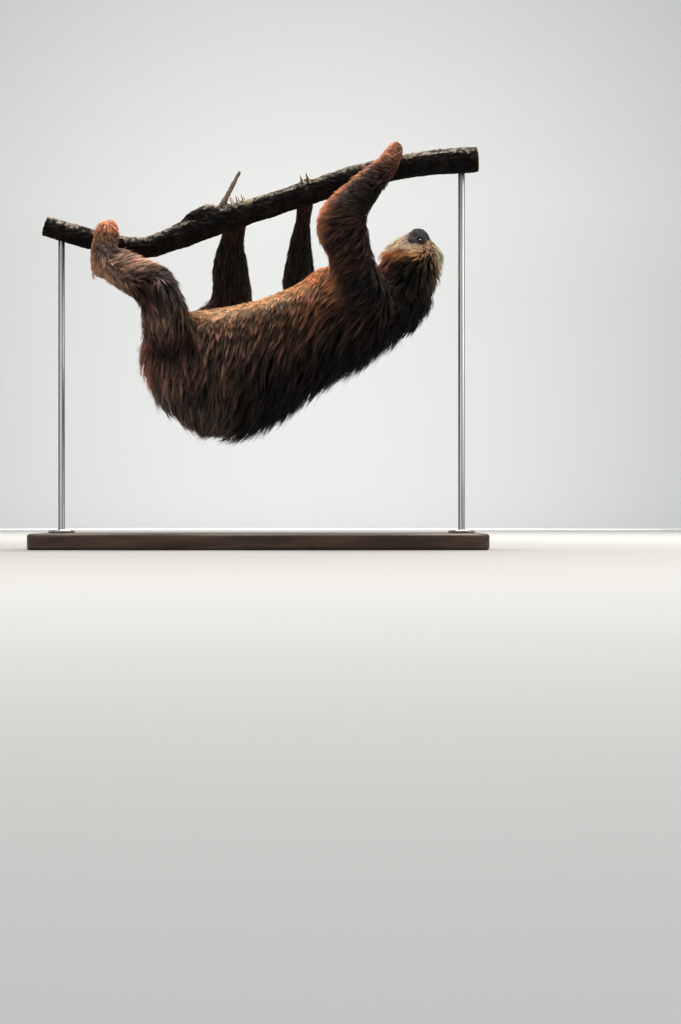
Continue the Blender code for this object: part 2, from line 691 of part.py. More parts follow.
def seat_claws(pieces):
    """Adds the claws, each seated in a pocket of its hand or foot."""
    for limb, kind in CLAWS.items():
        holder = f"{limb}_{'hand' if 'forelimb' in limb else 'foot'}"
        for number in range(kind["count"]):
            pieces[holder] = boolean(pieces[holder], claw_mesh(limb, number, GAP), "DIFFERENCE")
            pieces[f"{limb}_claw_{number + 1}"] = claw_mesh(limb, number)


def finish_of(name):
    """The finish that a piece shows, from its name."""
    words = {"claw": "claw", "eye": "eye", "ear": "bare_skin", "nose": "bare_skin", "snout": "bare_skin"}
    words |= {"jaw": "bare_skin", "head": "face_coat", "limb": "limb_coat"}
    for word, finish_name in words.items():
        if word in name:
            return finish_name
    return "coat"


def main():
    """Builds every piece in its place."""
    clear_scene()
    branch = branch_mesh()
    pieces = build_body() | build_head()
    seat_claws(pieces)
    bark = grown(branch, GAP)
    for name, mesh in pieces.items():
        if "hand" in name or "foot" in name:
            mesh = boolean(mesh, bark.copy(), "DIFFERENCE")
        place(name, mesh, finish_of(name))
    place("perch_branch", branch, "bark")
    place("stand_base", base_mesh(), "stand_wood")
    place("stand_rod_tail", rod_mesh(-1), "stand_steel")
    place("stand_rod_head", rod_mesh(1), "stand_steel")


main()
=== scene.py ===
"""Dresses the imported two-toed sloth.

One skin, its coat, the eyes and claws, the branch it hangs from and the display stand.
"""

import logging
import math
from dataclasses import astuple, dataclass
from enum import Enum, IntEnum
from typing import NamedTuple

import bmesh
import bpy
import numpy as np
from mathutils import Matrix, Vector, noise
from mathutils.bvhtree import BVHTree
from mathutils.kdtree import KDTree

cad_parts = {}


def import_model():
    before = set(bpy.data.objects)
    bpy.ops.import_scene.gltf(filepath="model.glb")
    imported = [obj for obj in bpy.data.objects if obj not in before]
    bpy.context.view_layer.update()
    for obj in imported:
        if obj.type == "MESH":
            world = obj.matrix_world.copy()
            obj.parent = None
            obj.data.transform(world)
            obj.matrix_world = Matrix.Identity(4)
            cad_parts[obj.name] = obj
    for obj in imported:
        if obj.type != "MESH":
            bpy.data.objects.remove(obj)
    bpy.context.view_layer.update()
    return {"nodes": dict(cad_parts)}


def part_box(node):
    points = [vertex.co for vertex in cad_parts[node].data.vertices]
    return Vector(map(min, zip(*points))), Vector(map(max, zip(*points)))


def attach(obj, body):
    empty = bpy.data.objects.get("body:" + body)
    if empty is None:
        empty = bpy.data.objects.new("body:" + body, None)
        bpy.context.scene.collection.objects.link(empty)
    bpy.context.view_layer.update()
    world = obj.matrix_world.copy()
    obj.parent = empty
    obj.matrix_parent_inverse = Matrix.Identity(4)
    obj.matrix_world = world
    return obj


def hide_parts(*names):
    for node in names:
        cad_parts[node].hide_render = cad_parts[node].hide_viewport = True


LOG = logging.getLogger("sloth")
SEED = 20417

Colour = tuple[float, float, float]
Nodes = dict[str, bpy.types.Object]
Rows = np.ndarray  # one number or one row for each of many points, or a single row


class Region(Enum):
    """The parts of the animal whose coat differs, by the word that their nodes' names hold."""

    TRUNK = "trunk"
    NECK = "neck"
    HEAD = "head"
    SNOUT = "snout"
    JAW = "jaw"
    NOSE = "nose"
    EAR = "ear"
    UPPER_ARM = "upper_arm"
    FOREARM = "forearm"
    HAND = "hand"
    THIGH = "thigh"
    SHANK = "shank"
    FOOT = "foot"

    @classmethod
    def of_node(cls, name: str) -> "Region":
        """The region that a node's name tells."""
        for region in cls:
            word = region.value
            if name == word or name.startswith(word + "_") or name.endswith("_" + word):
                return region
        raise ValueError(f"{name} is no part of the flesh")


@dataclass(frozen=True)
class Growth:
    """How the coat grows in one region; lengths in metres.

    depth is from the skin out to the tips, crowd is the share of strands for the same area,
    clump is how far the strands of a lock close up at their tips, and wave is how far a lock
    swings to the side.
    """

    depth: float
    length: float
    width: float
    crowd: float
    clump: float
    wave: float


GROWTH: dict[Region, Growth] = {
    Region.TRUNK: Growth(0.026, 0.064, 0.00106, 1.1, 0.62, 0.42),
    Region.NECK: Growth(0.019, 0.044, 0.00096, 2.1, 0.42, 0.24),
    Region.HEAD: Growth(0.018, 0.034, 0.00082, 2.1, 0.44, 0.18),
    Region.SNOUT: Growth(0.0008, 0.0036, 0.00034, 2.2, 0.2, 0.05),
    Region.JAW: Growth(0.004, 0.008, 0.00042, 5.0, 0.25, 0.08),
    Region.NOSE: Growth(0.0002, 0.0015, 0.0003, 0.0, 0.1, 0.02),
    Region.EAR: Growth(0.006, 0.014, 0.0006, 2.0, 0.4, 0.1),
    Region.UPPER_ARM: Growth(0.0115, 0.031, 0.00084, 2.1, 0.4, 0.22),
    Region.FOREARM: Growth(0.008, 0.025, 0.00074, 2.8, 0.34, 0.16),
    Region.HAND: Growth(0.003, 0.01, 0.0005, 5.6, 0.24, 0.08),
    Region.THIGH: Growth(0.014, 0.037, 0.00088, 1.9, 0.5, 0.42),
    Region.SHANK: Growth(0.009, 0.027, 0.00074, 2.75, 0.44, 0.42),
    Region.FOOT: Growth(0.0034, 0.012, 0.00052, 5.0, 0.28, 0.12),
}


# ---- Numbers over a surface


def unit(rows: Rows) -> Rows:
    """Each row scaled to length one."""
    return rows / np.maximum(np.linalg.norm(rows, axis=-1, keepdims=True), 1e-9)


def ease(low: float, high: float, value: Rows) -> Rows:
    """A smooth step from 0 at low to 1 at high."""
    t = np.clip((value - low) / (high - low), 0.0, 1.0)
    return t * t * (3.0 - 2.0 * t)


def bump(centre: float, spread: float, value: Rows) -> Rows:
    """A smooth hill of height one round centre."""
    return np.exp(-(((value - centre) / spread) ** 2))


def ripple(points: Rows, scale: float, seed: int) -> Rows:
    """A smooth wandering value for each point, made from a few crossed waves.

    Args:
        points: one row for each point, in metres.
        scale: the rough size of a patch, in metres.
        seed: picks the pattern.

    Returns:
        A value from about -1 to 1 for each point.
    """
    chance = np.random.default_rng(seed)
    total = np.zeros(len(points))
    for _ in range(7):
        way = unit(chance.normal(size=3)) * math.tau / (scale * chance.uniform(1.4, 3.2))
        total += np.sin(points @ way + chance.uniform(0.0, math.tau))
    return total / 3.2


class Surface:
    """A mesh as arrays, with the averaging that spreads values evenly over it."""

    def __init__(self, mesh: bpy.types.Mesh) -> None:
        """Reads the points, normals, edges and triangles of a mesh."""
        self.mesh = mesh
        count = len(mesh.vertices)
        self.points = np.empty(count * 3)
        mesh.vertices.foreach_get("co", self.points)
        self.points = self.points.reshape(-1, 3)
        self.edges = np.empty(len(mesh.edges) * 2, dtype=np.int64)
        mesh.edges.foreach_get("vertices", self.edges)
        self.edges = self.edges.reshape(-1, 2)
        mesh.calc_loop_triangles()
        self.triangles = np.empty(len(mesh.loop_triangles) * 3, dtype=np.int64)
        mesh.loop_triangles.foreach_get("vertices", self.triangles)
        self.triangles = self.triangles.reshape(-1, 3)
        self.degree = np.bincount(self.edges.ravel(), minlength=count).astype(float)

    def normals(self) -> Rows:
        """The outward normal at each point, weighted by area."""
        a, b, c = (self.points[self.triangles[:, i]] for i in range(3))
        across = np.cross(b - a, c - a)
        total = np.zeros_like(self.points)
        for corner in range(3):
            for axis in range(3):
                total[:, axis] += np.bincount(
                    self.triangles[:, corner], across[:, axis], len(total)
                )
        return unit(total)

    def averaged(self, values: Rows, rounds: int, hold: Rows | None = None) -> Rows:
        """Spreads values over the surface.

        Args:
            values: one row or number for each point.
            rounds: how many times each point takes its neighbours' mean.
            hold: for each point, how far it keeps its own value, from 0 to 1.

        Returns:
            The evened values, in the shape they came in.
        """
        flat = values.reshape(len(values), -1).astype(float)
        keep = 0.0 if hold is None else hold[:, None]
        for _ in range(rounds):
            total = np.empty_like(flat)
            for column in range(flat.shape[1]):
                total[:, column] = np.bincount(
                    self.edges[:, 0], flat[self.edges[:, 1], column], len(flat)
                ) + np.bincount(self.edges[:, 1], flat[self.edges[:, 0], column], len(flat))
            mean = (total / np.maximum(self.degree, 1.0)[:, None] + flat) / 2.0
            flat = mean * (1.0 - keep) + flat * keep
        return flat.reshape(values.shape)

    def store(self) -> None:
        """Writes the moved points back to the mesh."""
        self.mesh.vertices.foreach_set("co", self.points.ravel())
        self.mesh.update()

    def tree(self) -> BVHTree:
        """A search tree over the triangles."""
        return BVHTree.FromPolygons(self.points.tolist(), self.triangles.tolist())


def nearest(tree: BVHTree, points: Rows) -> tuple[Rows, Rows, Rows]:
    """Finds the closest place on a surface to each point.

    Args:
        tree: the surface's search tree.
        points: one row for each point.

    Returns:
        The places, the normals there and the triangles' numbers.
    """
    places, normals = np.empty_like(points), np.empty_like(points)
    faces = np.empty(len(points), dtype=np.int64)
    for row, point in enumerate(points):
        place, normal, face, _ = tree.find_nearest(point)
        places[row], normals[row], faces[row] = place, normal, face
    return places, normals, faces


# ---- Shader building


class Wire:
    """A shader socket that takes part in arithmetic."""

    def __init__(self, sheet: "Finish", socket: bpy.types.NodeSocket) -> None:
        """Wraps an output socket of a finish's node tree."""
        self.sheet, self.socket = sheet, socket

    def _join(self, operation: str, first: "Wire | float", second: "Wire | float") -> "Wire":
        """A Math node on two values."""
        return self.sheet.node("ShaderNodeMath", {"operation": operation}, {0: first, 1: second})

    def __add__(self, other: "Wire | float") -> "Wire":
        """The sum."""
        return self._join("ADD", self, other)

    __radd__ = __add__

    def __sub__(self, other: "Wire | float") -> "Wire":
        """The difference."""
        return self._join("SUBTRACT", self, other)

    def __rsub__(self, other: "Wire | float") -> "Wire":
        """The difference, the other way round."""
        return self._join("SUBTRACT", other, self)

    def __mul__(self, other: "Wire | float") -> "Wire":
        """The product."""
        return self._join("MULTIPLY", self, other)

    __rmul__ = __mul__

    def ramp(self, low: float, high: float) -> "Wire":
        """A smooth step from 0 at low to 1 at high."""
        settings = {"interpolation_type": "SMOOTHSTEP"}
        values = {"Value": self, "From Min": low, "From Max": high}
        return self.sheet.node("ShaderNodeMapRange", settings, values)


class Finish:
    """A material under construction, with a Principled shader at its end."""

    def __init__(self, name: str, **constants: float | Colour) -> None:
        """Starts the material and sets the shader's constants.

        Args:
            name: the material's name.
            constants: a value for each named socket, with _ for each space in its name.
        """
        self.material = bpy.data.materials.new(name)
        self.material.use_nodes = True
        self.tree = self.material.node_tree
        self.tree.nodes.clear()
        self.shader = self.tree.nodes.new("ShaderNodeBsdfPrincipled")
        out = self.tree.nodes.new("ShaderNodeOutputMaterial")
        self.tree.links.new(self.shader.outputs[0], out.inputs["Surface"])
        for key, value in constants.items():
            socket = self.shader.inputs[key.replace("_", " ")]
            socket.default_value = (*value, 1.0) if isinstance(value, tuple) else value

    def node(self, kind: str, settings: dict, values: dict, out: int | str = 0) -> Wire:
        """Adds any node.

        Args:
            kind: the node's type.
            settings: the node's own settings, which are set first.
            values: what goes into its sockets, by name or number.
            out: the output that is handed back.

        Returns:
            The chosen output.
        """
        made = self.tree.nodes.new(kind)
        for key, value in settings.items():
            setattr(made, key, value)
        for key, value in values.items():
            socket = made.inputs[key]
            if isinstance(value, Wire):
                self.tree.links.new(value.socket, socket)
            elif isinstance(value, tuple) and len(socket.default_value) == 4:
                socket.default_value = (*value, 1.0)
            else:
                socket.default_value = value
        return Wire(self, made.outputs[out])

    def place(self) -> Wire:
        """Object coordinates, in metres."""
        return self.node("ShaderNodeTexCoord", {}, {}, "Object")

    def stretched(self, scale: Colour) -> Wire:
        """Object coordinates multiplied by scale."""
        return self.node("ShaderNodeMapping", {}, {"Vector": self.place(), "Scale": scale})

    def noise(self, where: Wire, scale: float, detail: float, rough: float = 0.55) -> Wire:
        """A cloudy value from 0 to 1."""
        values = {"Vector": where, "Scale": scale, "Detail": detail, "Roughness": rough}
        return self.node("ShaderNodeTexNoise", {}, values)

    def cells(self, where: Wire, scale: float) -> Wire:
        """The distance to the nearest of many scattered points."""
        return self.node("ShaderNodeTexVoronoi", {}, {"Vector": where, "Scale": scale}, "Distance")

    def mix(
        self,
        factor: "Wire | float",
        first: "Wire | Colour",
        second: "Wire | Colour",
        blend: str = "MIX",
    ) -> Wire:
        """Blends two colours through a Mix node."""
        settings = {"data_type": "RGBA", "blend_type": blend}
        return self.node("ShaderNodeMix", settings, {0: factor, 6: first, 7: second}, 2)

    def attribute(self, name: str, out: str = "Fac") -> Wire:
        """A named attribute of the mesh, as a number or as its Color."""
        return self.node("ShaderNodeAttribute", {"attribute_name": name}, {}, out)

    def dress(self, **links: Wire) -> bpy.types.Material:
        """Links wires to the shader's sockets, with _ for each space, and ends the material."""
        for key, wire in links.items():
            self.tree.links.new(wire.socket, self.shader.inputs[key.replace("_", " ")])
        return self.material

    def relief(self, height: Wire, distance: float, strength: float) -> Wire:
        """A Bump node from a height."""
        values = {"Height": height, "Distance": distance, "Strength": strength}
        return self.node("ShaderNodeBump", {}, values, "Normal")


# ---- Shared mesh helpers


def copied(nodes: Nodes, names: list[str], swell: float = 0.0) -> bmesh.types.BMesh:
    """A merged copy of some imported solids.

    Args:
        nodes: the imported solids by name.
        names: the ones to copy.
        swell: how far each point moves out along its normal.

    Returns:
        A new bmesh of all of them.
    """
    bm = bmesh.new()
    for name in names:
        bm.from_mesh(nodes[name].data)
    bmesh.ops.remove_doubles(bm, verts=bm.verts, dist=1e-5)
    bm.normal_update()
    moves = [vertex.normal * swell for vertex in bm.verts]
    for vertex, move in zip(bm.verts, moves):
        vertex.co += move
    return bm


def shown(
    name: str,
    source: bmesh.types.BMesh | bpy.types.Mesh,
    material: bpy.types.Material | None = None,
) -> bpy.types.Object:
    """Makes a smooth-shaded object at the origin.

    Args:
        name: the object's name.
        source: its shape, as a mesh or as a bmesh, which is freed.
        material: what it is made of, unless it is only a step on the way.

    Returns:
        The new object.
    """
    if isinstance(source, bmesh.types.BMesh):
        mesh = bpy.data.meshes.new(name)
        source.to_mesh(mesh)
        source.free()
    else:
        mesh = source
    mesh.polygons.foreach_set("use_smooth", [True] * len(mesh.polygons))
    made = bpy.data.objects.new(name, mesh)
    bpy.context.collection.objects.link(made)
    if material is not None:
        mesh.materials.clear()
        mesh.materials.append(material)
    return made


def settled(made: bpy.types.Object) -> bpy.types.Mesh:
    """The mesh of an object after its modifiers; the object itself is removed."""
    bpy.context.view_layer.update()
    mesh = bpy.data.meshes.new_from_object(
        made.evaluated_get(bpy.context.evaluated_depsgraph_get())
    )
    old = made.data
    bpy.data.objects.remove(made)
    bpy.data.meshes.remove(old)
    return mesh


def remeshed(name: str, bm: bmesh.types.BMesh, voxel: float) -> bpy.types.Mesh:
    """Joins overlapping closed solids into one even skin of squares about voxel across."""
    made = shown(name, bm)
    change = made.modifiers.new("even", "REMESH")
    change.mode, change.voxel_size, change.use_smooth_shade = "VOXEL", voxel, True
    return settled(made)


def middle_of(name: str) -> Vector:
    """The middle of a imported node's box."""
    low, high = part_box(name)
    return (Vector(low) + Vector(high)) / 2


def placed(piece: bpy.types.Object, slot: str, *nodes: str) -> None:
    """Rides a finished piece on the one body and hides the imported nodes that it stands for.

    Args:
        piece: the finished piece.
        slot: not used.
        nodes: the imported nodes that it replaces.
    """
    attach(piece, "root")
    if nodes:
        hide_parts(*nodes)
    count = sum(len(face.vertices) - 2 for face in piece.data.polygons)
    LOG.info("%s: %d triangles", piece.name, count)


# ---- The head's own axes


class HeadFrame:
    """Axes of the head from its packed eyes and nose: to the nose, to its left, to its crown."""

    EYE = (0.0365, 0.027, 0.0095)  # the left eye's place in these axes
    REACH = 0.09  # everything nearer the middle than this is head
    # how far the nose's middle lies below the eyes' level, per metre towards the nose
    NOSE_DIP = 0.0806

    def __init__(self) -> None:
        """Reads the places of the eyes and nose."""
        left_eye, right_eye, nose = (middle_of(name) for name in ("eye_left", "eye_right", "nose"))
        left = (left_eye - right_eye).normalized()
        between = (left_eye + right_eye) / 2
        reach = nose - between
        ahead = (reach - left * reach.dot(left)).normalized()
        forward = (ahead + ahead.cross(left) * self.NOSE_DIP).normalized()
        crown = forward.cross(left).normalized()
        self.axes = np.array([forward, left, crown])
        self.middle = np.array(between - forward * self.EYE[0] - crown * self.EYE[2])

    def inside(self, points: Rows) -> Rows:
        """World points in the head's axes."""
        return (points - self.middle) @ self.axes.T

    def holds(self, points: Rows) -> Rows:
        """Whether each world point is near enough to be part of the head."""
        return np.linalg.norm(points - self.middle, axis=1) < self.REACH

    def ways(self, rows: Rows) -> Rows:
        """Directions in the head's axes, turned to the world's."""
        return rows @ self.axes

    @staticmethod
    def mouth_line(ahead: Rows) -> Rows:
        """How far towards the crown the mouth's line lies at each distance towards the nose."""
        slope = np.clip((ahead - 0.036) / 0.038, 0.0, 1.0)
        return -0.014 + 0.0105 * slope + 0.002 * (1 - slope) ** 2

    def from_bare(self, points: Rows) -> Rows:
        """How far each point lies outside the bare muzzle; below zero is on it."""
        ahead, _, crown = self.inside(points).T
        back = 0.0305 + 0.01 * ease(0.012, 0.026, crown) - ahead
        chin = self.mouth_line(ahead) - 0.0015 - crown
        return np.maximum(back, chin) + 0.0013 * ripple(points, 0.008, 7)

    def world(self, forward: float, left: float, crown: float) -> Rows:
        """One world point from its place in the head's axes."""
        return self.middle + np.array([forward, left, crown]) @ self.axes


# ---- Markings, the same on skin and coat


class Patch(NamedTuple):
    """A soft-edged patch of colour: its middle, its reach each way and its colour."""

    middle: Colour
    reach: Colour
    colour: Colour
    strength: float = 1.0


BODY_PATCHES = (
    # rump, reddish
    Patch((-0.19, 0.0, 0.31), (0.08, 0.3, 0.12), (0.19, 0.108, 0.086), 0.9),
    # its outer edge, its own reddish hair made lighter as painted rim light
    Patch((-0.215, 0.0, 0.33), (0.028, 0.3, 0.09), (0.54, 0.24, 0.165), 0.78),
    # flank, streaked light
    Patch((-0.06, 0.0, 0.35), (0.13, 0.3, 0.07), (0.165, 0.1, 0.072), 0.8),
    # fore flank, dark: its own brown deepened as painted shade
    Patch((0.06, 0.0, 0.3), (0.13, 0.3, 0.09), (0.0115, 0.0125, 0.013), 0.93),
    # lower back, dark: its own brown deepened as painted shade
    Patch((-0.03, 0.0, 0.235), (0.11, 0.3, 0.06), (0.015, 0.0155, 0.0158), 0.92),
    Patch((-0.12, 0.0, 0.265), (0.06, 0.3, 0.05), (0.038, 0.032, 0.029), 0.85),
    # lowest hair, greyer
    Patch((-0.095, 0.0, 0.2), (0.105, 0.3, 0.026), (0.088, 0.066, 0.05), 0.8),
    # nape, darkest: its own brown deepened as painted shade
    Patch((0.19, 0.0, 0.37), (0.105, 0.3, 0.13), (0.007, 0.0082, 0.0088), 0.97),
    Patch((0.13, 0.0, 0.39), (0.06, 0.3, 0.06), (0.01, 0.011, 0.0115), 0.9),
    # under the head: the first patch dark, its own brown deepened as painted shade
    Patch((0.275, 0.0, 0.42), (0.06, 0.3, 0.075), (0.008, 0.009, 0.0094), 0.95),
    Patch((0.235, 0.0, 0.444), (0.01, 0.3, 0.022), (0.09, 0.06, 0.044), 0.6),
    # below the belly's edge
    Patch((0.01, 0.0, 0.43), (0.18, 0.3, 0.06), (0.26, 0.13, 0.07), 0.65),
    # redder near the arm
    Patch((0.088, 0.0, 0.446), (0.046, 0.3, 0.034), (0.42, 0.185, 0.095), 0.75),
    # belly's golden edge, its own golden hair made brighter as painted top light
    Patch((-0.08, 0.0, 0.436), (0.068, 0.3, 0.023), (0.985, 0.84, 0.64), 0.97),
    Patch((-0.012, 0.0, 0.451), (0.07, 0.3, 0.023), (0.93, 0.65, 0.4), 0.97),
    Patch((0.055, 0.0, 0.479), (0.056, 0.3, 0.026), (0.8, 0.43, 0.21), 0.95),
    Patch((0.118, 0.0, 0.502), (0.05, 0.3, 0.03), (0.88, 0.35, 0.15), 0.92),
)

LIMB_PATCHES = (
    # near hand's back; its top strip lighter as painted top light, its underside darker as painted
    # shade
    Patch((0.232, -0.045, 0.71), (0.036, 0.06, 0.032), (0.29, 0.125, 0.068), 1.0),
    Patch((0.232, -0.045, 0.735), (0.036, 0.06, 0.013), (0.62, 0.37, 0.24), 0.9),
    Patch((0.212, -0.05, 0.676), (0.036, 0.06, 0.026), (0.15, 0.058, 0.032), 0.85),
    # near foot's back; its top strip lighter as painted top light, its underside darker as painted
    # shade
    Patch((-0.274, -0.04, 0.575), (0.034, 0.06, 0.034), (0.46, 0.2, 0.108), 1.0),
    Patch((-0.274, -0.04, 0.602), (0.034, 0.06, 0.016), (0.96, 0.58, 0.34), 0.92),
    Patch((-0.268, -0.06, 0.555), (0.022, 0.06, 0.014), (0.11, 0.044, 0.028), 0.7),
    # near heel's pale edge, its own hair made paler as painted rim light
    Patch((-0.306, -0.06, 0.505), (0.02, 0.09, 0.06), (0.48, 0.28, 0.18), 0.8),
    # elbow's golden fringe, its own hair made golden as painted rim light
    Patch((0.104, -0.1, 0.56), (0.024, 0.12, 0.06), (0.46, 0.22, 0.11), 0.8),
    # near forearm
    Patch((0.19, -0.09, 0.625), (0.06, 0.1, 0.06), (0.026, 0.017, 0.014), 0.92),
    Patch((0.17, -0.1, 0.54), (0.04, 0.1, 0.045), (0.05, 0.028, 0.02), 0.8),
    # near shoulder, dark: its own brown deepened as painted shade
    Patch((0.19, -0.09, 0.46), (0.05, 0.1, 0.05), (0.017, 0.0165, 0.0165), 0.88),
    # near shank
    Patch((-0.245, -0.09, 0.5), (0.06, 0.1, 0.046), (0.48, 0.305, 0.23), 0.92),
    # its upper edge, darkened as painted shade against the light from above
    Patch((-0.232, -0.09, 0.523), (0.04, 0.1, 0.018), (0.11, 0.058, 0.04), 0.9),
    # fold under the foot, darkened as painted shade
    Patch((-0.266, -0.06, 0.531), (0.026, 0.08, 0.016), (0.05, 0.03, 0.024), 0.85),
    # near knee
    Patch((-0.165, -0.1, 0.46), (0.036, 0.1, 0.032), (0.062, 0.048, 0.042), 0.85),
    # near thigh
    Patch((-0.17, -0.1, 0.41), (0.04, 0.1, 0.034), (0.3, 0.19, 0.145), 0.88),
    Patch((-0.165, -0.1, 0.35), (0.056, 0.1, 0.05), (0.038, 0.028, 0.023), 0.9),
    # near thigh's reddish edge, its own reddish hair made lighter as painted rim light
    Patch((-0.208, -0.09, 0.365), (0.02, 0.12, 0.055), (0.42, 0.2, 0.135), 0.75),
    # far limbs; the first two have their own brown deepened as painted shade
    Patch((-0.05, 0.09, 0.52), (0.05, 0.08, 0.1), (0.021, 0.0215, 0.022), 0.94),
    Patch((0.075, 0.09, 0.53), (0.05, 0.08, 0.12), (0.014, 0.0145, 0.015), 0.94),
    Patch((-0.1, 0.09, 0.505), (0.014, 0.08, 0.05), (0.15, 0.066, 0.044), 0.8),
    Patch((-0.045, 0.04, 0.625), (0.03, 0.05, 0.026), (0.24, 0.12, 0.07), 0.8),
    Patch((0.082, 0.036, 0.675), (0.03, 0.05, 0.026), (0.24, 0.12, 0.07), 0.8),
)

FRINGE_PATCHES = (
    # lowest hair, tan, by where the hair ends
    Patch((-0.112, 0.0, 0.21), (0.062, 0.3, 0.024), (0.19, 0.145, 0.112), 0.75),
    Patch((-0.172, 0.0, 0.242), (0.036, 0.3, 0.03), (0.19, 0.14, 0.11), 0.7),
)


class HeadPaint(Enum):
    """The head's colours, from the hood and throat forward to the nose."""

    # the hood's own dark brown, deepened as painted shade
    HOOD = (0.012, 0.0105, 0.0085)
    OLIVE = (0.04, 0.031, 0.021)  # behind the cheek
    CHEEK = (0.64, 0.35, 0.155)
    LOW_CHEEK = (0.56, 0.24, 0.1)
    MASK = (0.86, 0.7, 0.51)
    THROAT = (0.2, 0.105, 0.07)
    INNER_BAND = (0.105, 0.08, 0.052)  # inside the crown's pale edge
    # the crown's rim, dim to cream: painted rim light
    BACK_CROWN = (0.13, 0.098, 0.055)
    CROWN = (0.3, 0.255, 0.16)
    FRONT_CROWN = (0.64, 0.59, 0.46)
    MUZZLE_EDGE = (0.11, 0.085, 0.07)  # the fur next to the bare skin
    BARE = (0.009, 0.008, 0.009)
    BLOTCH = (0.024, 0.018, 0.019)
    # the bridge's greyer bare skin, lighter on top as painted top light
    BRIDGE = (0.062, 0.056, 0.058)
    LIPS = (0.21, 0.15, 0.13)
    # a painted highlight on the chin
    CHIN = (0.52, 0.42, 0.33)
    EYE_RING = (0.0095, 0.008, 0.0095)
    NOSE = (0.026, 0.021, 0.023)


def blended(colour: Rows, paint: Colour | Rows, amount: Rows) -> Rows:
    """Lays a paint over colours.

    Args:
        colour: one colour for each point.
        paint: the colour on top, the same everywhere or one for each point.
        amount: how far the paint covers each point, from 0 to 1.

    Returns:
        The new colours.
    """
    cover = amount[:, None]
    return colour * (1.0 - cover) + np.asarray(paint) * cover


